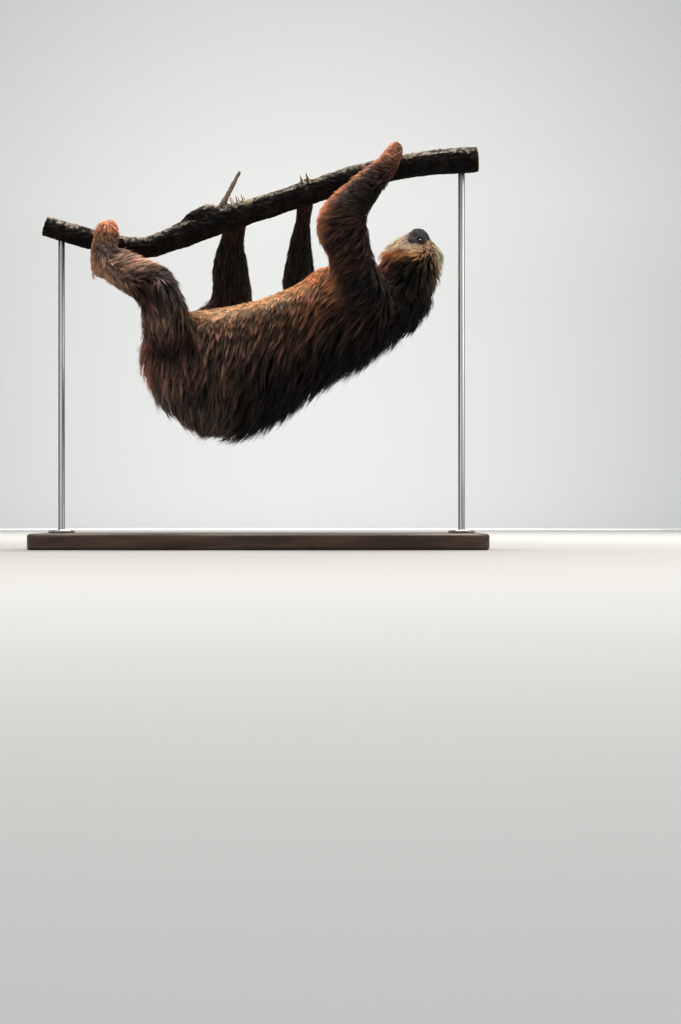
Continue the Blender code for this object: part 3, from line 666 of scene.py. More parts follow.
class Markings:
    """The colour that coat and skin share at each place of the body."""

    BODY = (0.074, 0.043, 0.03)
    # golden belly hair, partly its own colour and partly painted top light
    BELLY_AND_TOP_LIGHT = (0.6, 0.32, 0.15)
    LIMB = (0.09, 0.046, 0.03)
    ARM_RIM_LIGHT = (0.58, 0.25, 0.125)
    SHANK_RIM_LIGHT = (0.62, 0.32, 0.18)
    LIT_FROM = (-0.8, -0.1, 0.55)  # the way that the arm's painted rim light faces

    def __init__(self, head: HeadFrame) -> None:
        """Keeps the head's axes, which its own bands follow."""
        self.head = head

    @staticmethod
    def laid(colour: Rows, points: Rows, patches: tuple[Patch, ...], share: Rows) -> Rows:
        """Lays patches over a colour.

        Args:
            colour: the colour so far, one row for each point.
            points: where each row is.
            patches: the patches, laid in order.
            share: how far each point belongs to the parts that the patches mark, from 0 to 1.

        Returns:
            The new colours.
        """
        for patch in patches:
            away = np.linalg.norm((points - patch.middle) / np.array(patch.reach), axis=1)
            cover = patch.strength * (1.0 - ease(0.35, 1.25, away)) * share
            colour = blended(colour, patch.colour, cover)
        return colour

    def head_tone(self, points: Rows) -> Rows:
        """The head's bands: bare muzzle, pale mask, golden cheek, dark hood in painted shade and
        cream crown in painted rim light.

        Args:
            points: world points.

        Returns:
            The head's colour at each point.
        """
        ahead, side, crown = self.head.inside(points).T
        level = ahead + ripple(points, 0.02, 5) * 0.0022 + ripple(points, 0.007, 6) * 0.0008
        tone = np.tile(np.array(HeadPaint.HOOD.value), (len(points), 1))

        def lay(paint: HeadPaint, amount: Rows) -> None:
            """Lays one more colour over the head's tone."""
            nonlocal tone
            tone = blended(tone, paint.value, amount)

        lay(HeadPaint.OLIVE, ease(-0.022, -0.006, level))
        lay(HeadPaint.CHEEK, ease(0.001, 0.009, level))
        lay(HeadPaint.LOW_CHEEK, ease(0.0, 0.009, level) * ease(0.0, -0.02, crown))
        past_cheek = level - 0.012 - 0.01 * ease(-0.006, -0.034, crown)
        lay(HeadPaint.MASK, ease(0.0, 0.008, past_cheek) * (1 - 0.6 * ease(0.0, 0.012, crown)))
        throat = ease(0.028, 0.046, -crown) * ease(-0.04, -0.01, level)
        lay(HeadPaint.THROAT, 0.85 * throat * (1 - ease(0.01, 0.02, level)))
        inner = bump(0.026, 0.012, crown) * ease(-0.03, -0.014, level)
        lay(HeadPaint.INNER_BAND, 0.75 * inner * (1 - ease(0.011, 0.027, level)))
        # the crown's rim, painted rim light from above and behind
        rim = ease(0.028 + 0.008 * ease(0.03, 0.0, level), 0.04, crown)
        lay(HeadPaint.BACK_CROWN, 0.7 * rim * ease(-0.07, -0.03, level))
        lay(HeadPaint.CROWN, 0.85 * rim * ease(-0.034, -0.014, level))
        lay(HeadPaint.FRONT_CROWN, 0.97 * rim * ease(-0.01, 0.01, level))

        bare = -self.head.from_bare(points)
        inside, blotch = ease(0.0, 0.003, bare), ease(0.1, 0.9, ripple(points, 0.006, 8))
        lay(HeadPaint.MUZZLE_EDGE, 0.55 * ease(-0.0055, 0.0, bare))
        lay(HeadPaint.BARE, ease(-0.001, 0.0022, bare))
        lay(HeadPaint.BLOTCH, 0.6 * blotch * inside)
        # lighter on the bridge's top: partly its own greyer skin, partly painted top light
        bridge = ease(0.046, 0.06, ahead) * ease(-0.004, 0.01, crown)
        lay(HeadPaint.BRIDGE, 0.7 * inside * bridge)
        over_mouth = crown - self.head.mouth_line(ahead)
        lips = bump(0.001, 0.0028, over_mouth) * ease(0.034, 0.04, ahead)
        lay(HeadPaint.LIPS, 0.6 * lips)
        # painted highlight on the chin
        lay(HeadPaint.CHIN, 0.8 * ease(0.04, 0.048, ahead) * ease(0.002, 0.006, -over_mouth))
        eye_ahead, eye_side, eye_crown = self.head.EYE
        around = np.hypot((ahead - eye_ahead) / 0.008, (crown - eye_crown) / 0.01)
        beside = ease(eye_side - 0.009, eye_side - 0.003, np.abs(side))
        lay(HeadPaint.EYE_RING, 0.9 * (1 - ease(0.7, 1.35, around)) * beside)
        lay(HeadPaint.NOSE, ease(0.063, 0.0665, ahead) * ease(-0.012, -0.006, crown))
        return tone

    def tone(self, points: Rows, normals: Rows, limb: Rows, head: Rows) -> Rows:
        """The colour of the hair's tips at each point.

        Args:
            points: world points on the skin.
            normals: their outward normals.
            limb: how far each is on a limb, from 0 to 1.
            head: how far each is on the head, from 0 to 1.

        Returns:
            One colour for each point.
        """
        start = np.tile(np.array(self.BODY), (len(points), 1))
        colour = self.laid(start, points, BODY_PATCHES, 1.0 - limb)
        # laid where the hair faces up: golden belly hair, partly painted top light
        top = ease(0.6, 0.95, normals[:, 2]) * ease(0.3, 0.42, points[:, 2]) * (1 - limb)
        colour = blended(colour, self.BELLY_AND_TOP_LIGHT, 0.6 * top)
        colour = self.laid(blended(colour, self.LIMB, limb), points, LIMB_PATCHES, limb)
        near = 1 - ease(-0.01, 0.01, points[:, 1])
        # painted rim light over the near arm's own reddish hair, where it faces LIT_FROM
        lit = ease(0.25, 0.85, normals @ unit(np.array(self.LIT_FROM))) * limb
        arm = ease(0.07, 0.1, points[:, 0]) * near
        colour = blended(colour, self.ARM_RIM_LIGHT, 0.95 * lit * arm)
        # painted rim light: paler on the near shank and foot where they face -X
        edge = ease(0.6, 0.95, -normals[:, 0]) * limb
        shank = (1 - ease(-0.25, -0.2, points[:, 0])) * near
        colour = blended(colour, self.SHANK_RIM_LIGHT, 0.85 * edge * shank)
        colour = blended(colour, self.head_tone(points), head)
        wander = 0.16 * ripple(points, 0.045, 11) + 0.1 * ripple(points, 0.016, 12)
        return colour * (1.0 + wander)[:, None]


# ---- How the hair lies


@dataclass(frozen=True)
class LimbLay:
    """How hair lies on one part of a limb.

    around is the pull away from the ridge and level is how far that pull is turned level; down is
    gravity's pull, with its lean towards the head, and back is the pull towards the body.
    """

    around: float
    down: float
    back: float
    lean: float = 0.0
    level: float = 0.0


LIMB_LAYS: dict[Region, LimbLay] = {
    Region.UPPER_ARM: LimbLay(0.3, 0.6, 0.05, -1.1, 0.5),
    Region.FOREARM: LimbLay(1.0, 0.16, 0.0, 0.0, 0.8),
    Region.HAND: LimbLay(0.9, 0.22, 0.1, 0.0, 0.6),
    Region.THIGH: LimbLay(0.2, 1.0, 0.1, 0.05),
    Region.SHANK: LimbLay(0.45, 0.7, 0.4),
    Region.FOOT: LimbLay(0.55, 0.7, 0.2, -0.15),
}


class Lie:
    """The direction in which the hair lies at each place."""

    SWIRL = (-0.262, 0.52)  # middle of the near shank's turning hair, X and Z
    STAR = (-0.162, 0.463, 0.026)  # middle of the near knee's parted hair, X and Z, and its reach
    LIMBS = (
        ("forelimb", ("upper_arm", "forearm", "hand")),
        ("hindlimb", ("thigh", "shank", "foot")),
    )
    ALONG_BODY = (-0.21, -0.15, -0.09, 0.0, 0.08, 0.16, 0.21, 0.26, 0.31)  # X
    LEAN = (0.18, -0.04, -0.16, -0.32, -0.52, -0.85, -0.7, -0.42, -0.15)  # towards the head there

    def __init__(self, head: HeadFrame) -> None:
        """Finds each limb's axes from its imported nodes."""
        self.head = head
        self.axis: dict[str, Rows] = {}
        for limb, parts in self.LIMBS:
            for side in ("left", "right"):
                names = [f"{limb}_{side}_{part}" for part in parts]
                places = [middle_of(name) for name in names]
                for index, name in enumerate(names):
                    ahead = places[min(index + 1, 2)] - places[max(index - 1, 0)]
                    self.axis[name] = np.array(ahead.normalized())

    def body(self, points: Rows, normals: Rows) -> Rows:
        """On trunk and neck: down, leaning to the tail up to the shoulder, parted on the belly."""
        x, y = points[:, 0], points[:, 1]
        lean = np.interp(x, self.ALONG_BODY, self.LEAN)
        part = 1.6 * np.tanh(y / 0.012) * ease(0.1, 0.8, normals[:, 2])
        under = ease(0.55, 0.95, -normals[:, 2])
        return np.stack([lean - 0.25 * under, part, -np.ones_like(x)], axis=1)

    def on_head(self, points: Rows, normals: Rows) -> Rows:
        """On the head: back from the muzzle, across the cheek towards the throat, then hanging."""
        ahead, side, crown = self.head.inside(points).T
        facing = (self.head.inside(points + normals) - self.head.inside(points))[:, 2]
        heights = (-0.056, -0.04, -0.02, 0.0, 0.014, 0.03)
        back = np.interp(crown, heights, (1.3, 0.7, 0.3, 0.26, 0.6, 1.1))
        back += ripple(points, 0.022, 41) * 0.22
        sweep = np.interp(crown, (-0.056, -0.036, 0.008, 0.036), (0.25, 0.85, 1.0, 0.5))
        hang = 1.0 - ease(-0.04, -0.006, ahead)
        back, sweep = back * (1 - hang) + hang, sweep * (1 - hang) + 0.2 * hang
        upward = ease(0.3, 0.95, facing) * ease(0.004, 0.03, crown)
        rim = np.maximum(ease(0.014, 0.052, crown), upward)
        back, sweep = back * (1 - rim) + rim, sweep * (1 - rim) + 0.02 * rim
        face = ease(0.014, 0.036, ahead)
        back, sweep = back * (1 - face) + 0.75 * face, sweep * (1 - face * 0.5)
        middle = 1.0 - ease(0.0, 0.036, np.abs(side))
        back, sweep = back * (1 - middle) + middle, sweep * (1 - middle)
        out = 0.25 * np.tanh(side / 0.01) * middle
        return self.head.ways(np.stack([-back, out, -sweep], axis=1))

    def on_limb(self, name: str, points: Rows, normals: Rows) -> tuple[Rows, Rows]:
        """On a limb: from its outer ridge round both sides, and down.

        Args:
            name: the limb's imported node.
            points: world points on it.
            normals: their outward normals.

        Returns:
            One direction for each point, and another across it by which single locks may stray,
            which is long on the ridge.
        """
        lay, axis = LIMB_LAYS[Region.of_node(name)], self.axis[name]
        near = "left" in name
        near_arm, near_leg = near and "forelimb" in name, near and "hindlimb" in name
        ridge = np.array([1.0, -0.4, 0.0] if near_arm else [0.3, -1.0 if near else 1.0, 0.0])
        ridge = unit(ridge - axis * (ridge @ axis))
        turn = np.cross(axis, ridge)
        angle = np.arctan2(normals @ turn, normals @ ridge) + 0.3 * ripple(points, 0.03, 31)
        across = unit(np.cross(axis, normals))
        share = np.tanh(angle / 0.75)
        flow = across * share[:, None]
        level = np.zeros_like(flow)
        level[:, 0] = np.sign(flow[:, 0]) * np.abs(share)
        flow = flow * (1 - lay.level) + level * lay.level
        pull = lay.around * (1.0 if near else 0.12)
        way = flow * pull + np.array([lay.lean, 0.0, -1.0]) * lay.down - axis * lay.back
        stray = across * (1 - lay.level) + np.array([1.0, 0.0, 0.0]) * lay.level
        stray = stray * bump(0.0, 0.85, angle)[:, None]
        x, z = points[:, 0], points[:, 2]
        if near and name.endswith("shank"):
            ox, oz = x - self.SWIRL[0], z - self.SWIRL[1]
            swirl = unit(np.stack([-oz, np.zeros_like(ox), ox], axis=1))
            way = way * 0.25 + swirl + np.array([0.45, 0.0, -0.4])
        if near and name.endswith("thigh"):
            fold = bump(0.425, 0.05, z)
            way[:, 0] -= 0.8 * np.tanh((x + 0.16) / 0.018) * fold
        if near_leg and not name.endswith("foot"):
            ox, oz = x - self.STAR[0], z - self.STAR[1]
            spread = unit(np.stack([ox, np.zeros_like(ox), oz], axis=1))
            away = np.hypot(ox, oz)
            strength = 1.2 * bump(0.0, self.STAR[2], away) * (1 - bump(0.0, 0.009, away))
            way = unit(way) + spread * strength[:, None]
            stray *= 0.5
        return way, stray * pull


# ---- The skin


@dataclass(frozen=True)
class BareSkin:
    """Bare skin: its own markings, pores and fine wrinkles."""

    shaded: Colour = (0.42, 0.38, 0.4)
    mottles: float = 210.0
    pores: float = 900.0
    wrinkles: float = 1400.0
    relief: float = 0.0007

    def material(self) -> bpy.types.Material:
        """Makes the finish from the colours stored on the skin."""
        finish = Finish("bare_skin", Roughness=0.66, Specular_IOR_Level=0.05)
        where, tone = finish.place(), finish.attribute("tone", "Color")
        mottle = finish.noise(where, self.mottles, 4.0)
        pores = finish.cells(where, self.pores)
        fine = finish.noise(where, self.wrinkles, 2.0)
        dark = finish.mix(1.0, tone, self.shaded, "MULTIPLY")
        colour = finish.mix(mottle.ramp(0.35, 0.7) * 0.7, tone, dark)
        colour = finish.mix((1.0 - pores.ramp(0.1, 0.45)) * 0.5, colour, dark)
        height = pores * 0.6 + fine * 0.4 + mottle * 0.5
        return finish.dress(
            Base_Color=colour,
            Roughness=0.5 + mottle * 0.25,
            Normal=finish.relief(height, self.relief, 0.7),
        )


class Trait(IntEnum):
    """What the skin knows at each point, and in which column."""

    DEPTH = 0
    LENGTH = 1
    WIDTH = 2
    CROWD = 3
    CLUMP = 4
    WAVE = 5
    LIMB = 6
    HEAD = 7


HEAD_REGIONS = (Region.HEAD, Region.SNOUT, Region.JAW, Region.NOSE, Region.EAR)

# Where the coat lies fuller: the middle of each place, its reach, and how much fuller.
FULLER: tuple[tuple[Colour, float, float], ...] = (
    ((0.212, -0.045, 0.712), 0.018, 0.004),  # near hand's back
    ((0.224, -0.045, 0.726), 0.013, 0.0035),
    ((-0.274, -0.04, 0.58), 0.022, 0.003),  # near foot's back
    ((-0.15, -0.1, 0.487), 0.024, 0.007),  # near knee
    ((0.11, -0.015, 0.48), 0.03, 0.012),  # between belly and near arm
    ((0.116, -0.065, 0.495), 0.028, 0.014),
    ((-0.062, 0.09, 0.52), 0.034, 0.011),  # far thigh
    ((-0.058, 0.09, 0.48), 0.03, 0.007),
)


@dataclass
class Skin:
    """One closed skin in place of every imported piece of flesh, inside them by the coat's depth."""

    nodes: Nodes
    head: HeadFrame
    markings: Markings
    lie: Lie
    voxel: float = 0.004
    swell: float = 0.0006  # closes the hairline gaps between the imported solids
    thinnest: float = 0.25  # the most of the body's thickness that the coat may take
    farthest: float = 0.3  # how far the skin is looked through for its other side
    divided: tuple[float, float, float] = (0.016, 0.027, 0.0135)  # muzzle, nose, round the eyes
    eye_radius: float = 0.0078
    eye_depth: float = 0.0024  # how far the eyeball lies behind the lids
    lid: float = 0.0009
    eye_long: float = 0.0053
    eye_tall: float = 0.0036
    eye_taper: float = 0.05  # how much lower the opening is towards its corners
    under_coat: float = 0.22  # how bright the skin is in the shade of the hair

    def __post_init__(self) -> None:
        """Lists the nodes of flesh."""
        stands = ("eye_", "perch_", "stand_")
        self.names = sorted(n for n in self.nodes if not n.startswith(stands) and "_claw_" not in n)

    def refined(self, mesh: bpy.types.Mesh) -> bpy.types.Mesh:
        """Divides the squares of the face, more finely still round the eyes, nose and mouth."""
        bm = bmesh.new()
        bm.from_mesh(mesh)
        ahead, left, crown = self.head.EYE
        eyes = [self.head.world(ahead, side * left, crown) for side in (1, -1)]
        for level in range(3):
            bm.verts.ensure_lookup_table()
            points = np.array([vertex.co for vertex in bm.verts])
            ahead = self.head.inside(points)[:, 0]
            near = np.min([np.linalg.norm(points - eye, axis=1) for eye in eyes], axis=0)
            muzzle, nose, eye = self.divided
            pick = (ahead > muzzle, ahead > nose, near < eye)[level] & self.head.holds(points)
            edges = [edge for edge in bm.edges if all(pick[v.index] for v in edge.verts)]
            bmesh.ops.subdivide_edges(bm, edges=edges, cuts=1, use_grid_fill=True)
            bmesh.ops.triangulate(bm, faces=[face for face in bm.faces if len(face.verts) > 4])
            points = np.array([vertex.co for vertex in bm.verts])
            face = (self.head.inside(points)[:, 0] > 0.018) & self.head.holds(points)
            soft = [vertex for vertex, inside in zip(bm.verts, face) if inside]
            axes = {"use_axis_x": True, "use_axis_y": True, "use_axis_z": True}
            for _ in range(2):
                bmesh.ops.smooth_vert(bm, verts=soft, factor=0.5, **axes)
        bm.to_mesh(mesh)
        bm.free()
        return mesh

    def outline(self) -> Surface:
        """The closed surface that the tips of the coat reach, evened and refined on the face."""
        mesh = remeshed("outline", copied(self.nodes, self.names, self.swell), self.voxel)
        surface = Surface(mesh)
        first = surface.points.copy()
        surface.points = surface.averaged(surface.points, 6)
        surface.points += surface.averaged(first - surface.points, 4) * 0.6
        ahead, _, crown = self.head.inside(surface.points).T
        near = np.linalg.norm(surface.points - self.head.middle, axis=1) < 0.1
        fuller = 0.006 * bump(0.036, 0.024, ahead) * ease(0.01, 0.03, -crown)  # under the jaw
        fuller += 0.0055 * bump(0.022, 0.022, ahead) * ease(0.026, 0.042, crown)  # over the brow
        fuller *= near
        for middle, reach, more in FULLER:
            away = np.linalg.norm(surface.points - np.array(middle), axis=1)
            fuller += more * bump(0.0, reach, away)
        surface.points += surface.normals() * surface.averaged(fuller, 6)[:, None]
        surface.store()
        return Surface(self.refined(mesh))

    def traits(self, surface: Surface, normals: Rows) -> tuple[Rows, Rows, Rows]:
        """What grows where.

        Args:
            surface: the outline.
            normals: its normals.

        Returns:
            The traits, the hair's lie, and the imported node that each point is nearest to.
        """
        points, faces, owner = [], [], []
        for number, name in enumerate(self.names):
            base = len(points)
            points += [vertex.co.copy() for vertex in self.nodes[name].data.vertices]
            for face in self.nodes[name].data.polygons:
                faces.append([base + corner for corner in face.vertices])
                owner.append(number)
        tree = BVHTree.FromPolygons(points, faces)
        _, _, hit = nearest(tree, surface.points)
        node = np.array(owner)[hit]
        regions = [Region.of_node(name) for name in self.names]
        table = np.zeros((len(self.names), len(Trait)))
        for row, region in enumerate(regions):
            grown = GROWTH[region]
            table[row, : Trait.LIMB] = astuple(grown)
            table[row, Trait.LIMB] = float(region in LIMB_LAYS)
            table[row, Trait.HEAD] = float(region in HEAD_REGIONS)
        traits = table[node]
        lie = self.lie.body(surface.points, normals)
        on_head = traits[:, Trait.HEAD] > 0.5
        lie[on_head] = self.lie.on_head(surface.points[on_head], normals[on_head])
        stray = np.zeros_like(lie)
        for number, name in enumerate(self.names):
            if regions[number] in LIMB_LAYS:
                mine = node == number
                lie[mine], stray[mine] = self.lie.on_limb(name, surface.points[mine], normals[mine])
        traits[:, Trait.CROWD] *= 1.0 + 0.5 * np.minimum(np.linalg.norm(stray, axis=1), 1.0)
        x, y, z = surface.points.T
        star = bump(0.0, 0.022, np.hypot(x - self.lie.STAR[0], z - self.lie.STAR[1])) * (y < 0)
        traits[:, Trait.CROWD] *= 1.0 + 1.2 * star
        far = (y > 0.03) * (traits[:, Trait.LIMB] > 0.5)
        traits[:, Trait.DEPTH] *= 1.0 - 0.3 * far
        traits[:, Trait.WAVE] *= 1.0 - 0.6 * far
        trunk = np.array([region in (Region.TRUNK, Region.NECK) for region in regions])[node]
        below, above = ease(0.2, 1.0, -normals[:, 2]), ease(0.0, 0.8, normals[:, 2])
        for trait, hanging, belly in (  # how the trunk's coat changes below and above
            (Trait.DEPTH, 0.5, -0.78),
            (Trait.LENGTH, 0.15, -0.6),
            (Trait.WIDTH, 0.0, -0.3),
            (Trait.CROWD, 0.0, 1.4),
            (Trait.CLUMP, -0.3, -0.45),
            (Trait.WAVE, 0.0, -0.6),
        ):
            traits[trunk, trait] *= (1.0 + hanging * below + belly * above)[trunk]
        self.shape_face(surface.points, traits, on_head)
        hold = (1.0 - ease(0.01, 0.03, self.head.from_bare(surface.points))) * on_head
        traits = surface.averaged(traits, 14, hold * 0.97)
        lie = unit(surface.averaged(unit(lie), 8, hold * 0.9))
        self.stray_at = surface.averaged(stray, 8)
        return traits, lie, node

    def shape_face(self, points: Rows, traits: Rows, on_head: Rows) -> None:
        """Sets the head's coat by its distance from the muzzle: bare there, deep on the hood."""
        away = self.head.from_bare(points)
        stops = (-0.004, 0.0, 0.004, 0.01, 0.02, 0.034, 0.055, 0.09)
        for trait, values in (
            (Trait.DEPTH, (0.0004, 0.001, 0.003, 0.0056, 0.0088, 0.015, 0.022, 0.027)),
            (Trait.LENGTH, (0.003, 0.0048, 0.0088, 0.0145, 0.0215, 0.0315, 0.043, 0.056)),
            (Trait.WIDTH, (34e-5, 38e-5, 44e-5, 52e-5, 60e-5, 76e-5, 92e-5, 102e-5)),
            (Trait.CROWD, (2.5, 8.0, 9.0, 7.5, 5.4, 3.2, 2.0, 1.5)),
            (Trait.CLUMP, (0.1, 0.14, 0.2, 0.26, 0.34, 0.46, 0.54, 0.6)),
            (Trait.WAVE, (0.02, 0.03, 0.05, 0.08, 0.1, 0.16, 0.26, 0.32)),
        ):
            traits[on_head, trait] = np.interp(away, stops, values)[on_head]
        bare = on_head & (away < -0.006)
        traits[bare, Trait.CROWD] *= 0.2

    def build(self) -> "Skin":
        """Makes the skin's surface and everything that the coat reads from it."""
        outline = self.outline()
        self.hull = outline.tree()
        normals = outline.normals()
        traits, lie, self.node = self.traits(outline, normals)
        smooth = unit(outline.averaged(normals, 6))
        room = np.empty(len(outline.points))
        for row, (point, inward) in enumerate(zip(outline.points, -smooth)):
            start = Vector(point + inward * 1e-4)
            _, _, _, reach = self.hull.ray_cast(start, Vector(inward), self.farthest)
            room[row] = self.farthest if reach is None else reach
        room = outline.averaged(room, 6)
        depth = np.minimum(traits[:, Trait.DEPTH], room * self.thinnest)
        on_head = traits[:, Trait.HEAD]
        hold = (1.0 - ease(0.002, 0.014, self.head.from_bare(outline.points))) * (on_head > 0.5)
        depth = outline.averaged(depth, 8, hold * 0.97)
        traits[:, Trait.DEPTH] = depth
        skin = Surface(outline.mesh)
        skin.points = outline.points - smooth * depth[:, None]
        skin.points = skin.averaged(skin.points, 4, hold)
        self.sculpt(skin)
        skin.store()
        self.surface, self.traits_at = skin, traits
        self.normals = skin.normals()
        self.lie_at = unit(lie - self.normals * np.sum(lie * self.normals, axis=1)[:, None])
        on_limb = traits[:, Trait.LIMB]
        self.tone_at = self.markings.tone(skin.points, self.normals, on_limb, on_head)
        self.tree = skin.tree()
        return self

    def eye_axes(self, side: int) -> tuple[Rows, Rows, Rows, Rows]:
        """An eye's middle, and its axes: outward, along its corners, and across the lids."""
        middle = np.array(middle_of("eye_left" if side > 0 else "eye_right"))
        place, _, _, _ = self.hull.find_nearest(Vector(middle))
        out = unit(np.array(place) - middle)
        long = self.head.ways(np.array([1.0, 0.0, -0.35]))
        long = unit(long - out * (long @ out))
        return middle, out, long, np.cross(out, long)

    def sculpt(self, skin: Surface) -> None:
        """Gives the face its mouth, nostrils, folds and eyes."""
        ahead, side_at, crown = self.head.inside(skin.points).T
        normals = skin.normals()
        on_face = self.head.holds(skin.points) & (ahead > 0.02)
        folds = np.zeros(len(skin.points))
        across = crown - self.head.mouth_line(ahead)
        mouth = ease(0.034, 0.04, ahead)
        folds -= 0.0017 * bump(0.0, 0.001, across) * mouth
        lips = 0.0006 * bump(0.0028, 0.0016, across) + 0.0005 * bump(-0.0026, 0.0016, across)
        folds += lips * mouth
        for side in (1, -1):  # nostrils, each with a raised edge
            near = ((ahead - 0.07) / 0.0046) ** 2 + ((crown - 0.0092) / 0.0024) ** 2
            near += ((side_at - side * 0.0082) / 0.0034) ** 2
            folds -= 0.0042 * np.exp(-near)
            folds += 0.0007 * bump(1.55, 0.35, np.sqrt(near))
        groove = bump(0.0, 0.0009, side_at) * ease(0.064, 0.068, ahead)
        folds -= 0.001 * groove * (1 - ease(0.01, 0.013, crown))
        rings = np.sin(ahead * 1900.0 + crown * 700.0 + ripple(skin.points, 0.01, 21) * 2.6)
        bridge = ease(0.04, 0.046, ahead) * (1 - ease(0.058, 0.063, ahead))
        folds += 0.00011 * rings * bridge * ease(-0.004, 0.006, crown)
        skin.points[on_face] += normals[on_face] * folds[on_face, None]
        for side in (1, -1):
            self.open_eye(skin, side)

    def open_eye(self, skin: Surface, side: int) -> None:
        """Cuts one eye's opening and shapes the lids over its ball.

        Args:
            skin: the surface being shaped.
            side: 1 for the left eye, -1 for the right.
        """
        middle, out, long, tall = self.eye_axes(side)
        away = skin.points - middle
        height, a, b = away @ out, away @ long, away @ tall
        pick = (np.linalg.norm(away, axis=1) < 0.02) & (height > -0.002)
        radius, across = self.eye_radius, a**2 + b**2
        tall_there = self.eye_tall - self.eye_taper * np.abs(a)
        around = np.sqrt((a / self.eye_long) ** 2 + (b / tall_there) ** 2)  # 1 at the lids' edge
        ball = np.sqrt(np.maximum(radius**2 - across, 1e-9))
        lid = np.sqrt(np.maximum((radius + self.lid) ** 2 - across, 1e-9))
        lid += 0.0003 * bump(1.12, 0.12, around)
        crease = -0.0007 * bump(1.75, 0.16, around) + 0.0004 * bump(2.1, 0.2, around)
        sunk = ball - self.eye_depth * ease(1.0, 0.86, around) - 0.0002
        target = np.where(around < 1.0, sunk, lid)
        blend = (1.0 - ease(1.4, 2.3, around)) * (across < (radius * 0.97) ** 2)
        move = (target - height) * blend + crease * ease(1.3, 1.5, around)
        skin.points[pick] += out * move[pick, None]

    def show(self) -> None:
        """Turns the surface into the shown skin, with its colours stored on it."""
        mesh = self.surface.mesh
        on_head = self.traits_at[:, Trait.HEAD]
        bare = (1.0 - ease(0.0, 0.006, self.head.from_bare(self.surface.points))) * on_head
        light = ease(0.12, 0.45, self.tone_at.mean(axis=1)) * (1.0 - on_head)
        shade = self.under_coat + np.maximum((1.0 - self.under_coat) * bare, 0.5 * light)
        store_colour(mesh, self.tone_at * shade[:, None])
        placed(shown("skin", mesh, BareSkin().material()), "bare_skin", *self.names)


def store_colour(mesh: bpy.types.Mesh, tones: Rows) -> None:
    """Stores one linear colour for each point as the attribute tone."""
    layer = mesh.color_attributes.new("tone", "FLOAT_COLOR", "POINT")
    rows = np.ones((len(tones), 4), dtype=np.float32)
    rows[:, :3] = np.clip(tones, 0.0, 1.0)
    layer.data.foreach_set("color", rows.ravel())


def store_value(mesh: bpy.types.Mesh, name: str, values: Rows) -> None:
    """Stores one number for each point as a named attribute."""
    layer = mesh.attributes.new(name, "FLOAT", "POINT")
    layer.data.foreach_set("value", values.astype(np.float32))


# ---- The coat


class Cut(Enum):
    """How a hair is cut: the places of its rings and tip along it, and each ring's thickness."""

    LONG = ((0.0, 0.24, 0.5, 0.76, 1.0), (0.65, 1.0, 0.94, 0.62))
    SHORT = ((0.0, 0.36, 0.72, 1.0), (0.8, 1.0, 0.66))

    @property
    def stops(self) -> Rows:
        """The places of the rings and the tip, from 0 to 1."""
        return np.array(self.value[0])

    @property
    def girth(self) -> Rows:
        """The thickness at each ring, as a share of the hair's width."""
        return np.array(self.value[1])


class Sheaf(NamedTuple):
    """Hairs of one cut: points, widths, colours, paleness at the root and places on the map."""

    cut: Cut
    points: Rows
    width: Rows
    tone: Rows
    pale: Rows
    flat: Rows


@dataclass(frozen=True)
class Hair:
    """Coarse hair: dark at the root, partly its own colour and partly painted shade deep in the
    coat, its own marking further out, paler and drier at the tip.
    """

    root: Colour = (0.18, 0.18, 0.19)
    tip: Colour = (1.55, 1.42, 1.28)
    dust: Colour = (0.04, 0.028, 0.022)
    clouds: float = 95.0

    def material(self) -> bpy.types.Material:
        """Makes the finish from the colours stored on the hair."""
        finish = Finish("coat", Roughness=0.58, Specular_IOR_Level=0.15)
        tone, along = finish.attribute("tone", "Color"), finish.attribute("along")
        root = finish.mix(1.0, tone, self.root, "MULTIPLY")
        colour = finish.mix(along.ramp(0.05, 0.6), root, tone)
        dust = finish.noise(finish.place(), self.clouds, 2.0)
        colour = finish.mix(dust.ramp(0.3, 0.75) * 0.2, colour, self.dust)
        tip = finish.mix(1.0, tone, self.tip, "MULTIPLY")
        colour = finish.mix(along.ramp(0.55, 1.0) * 0.75, colour, tip)
        return finish.dress(Base_Color=colour, Roughness=0.52 + dust * 0.16)


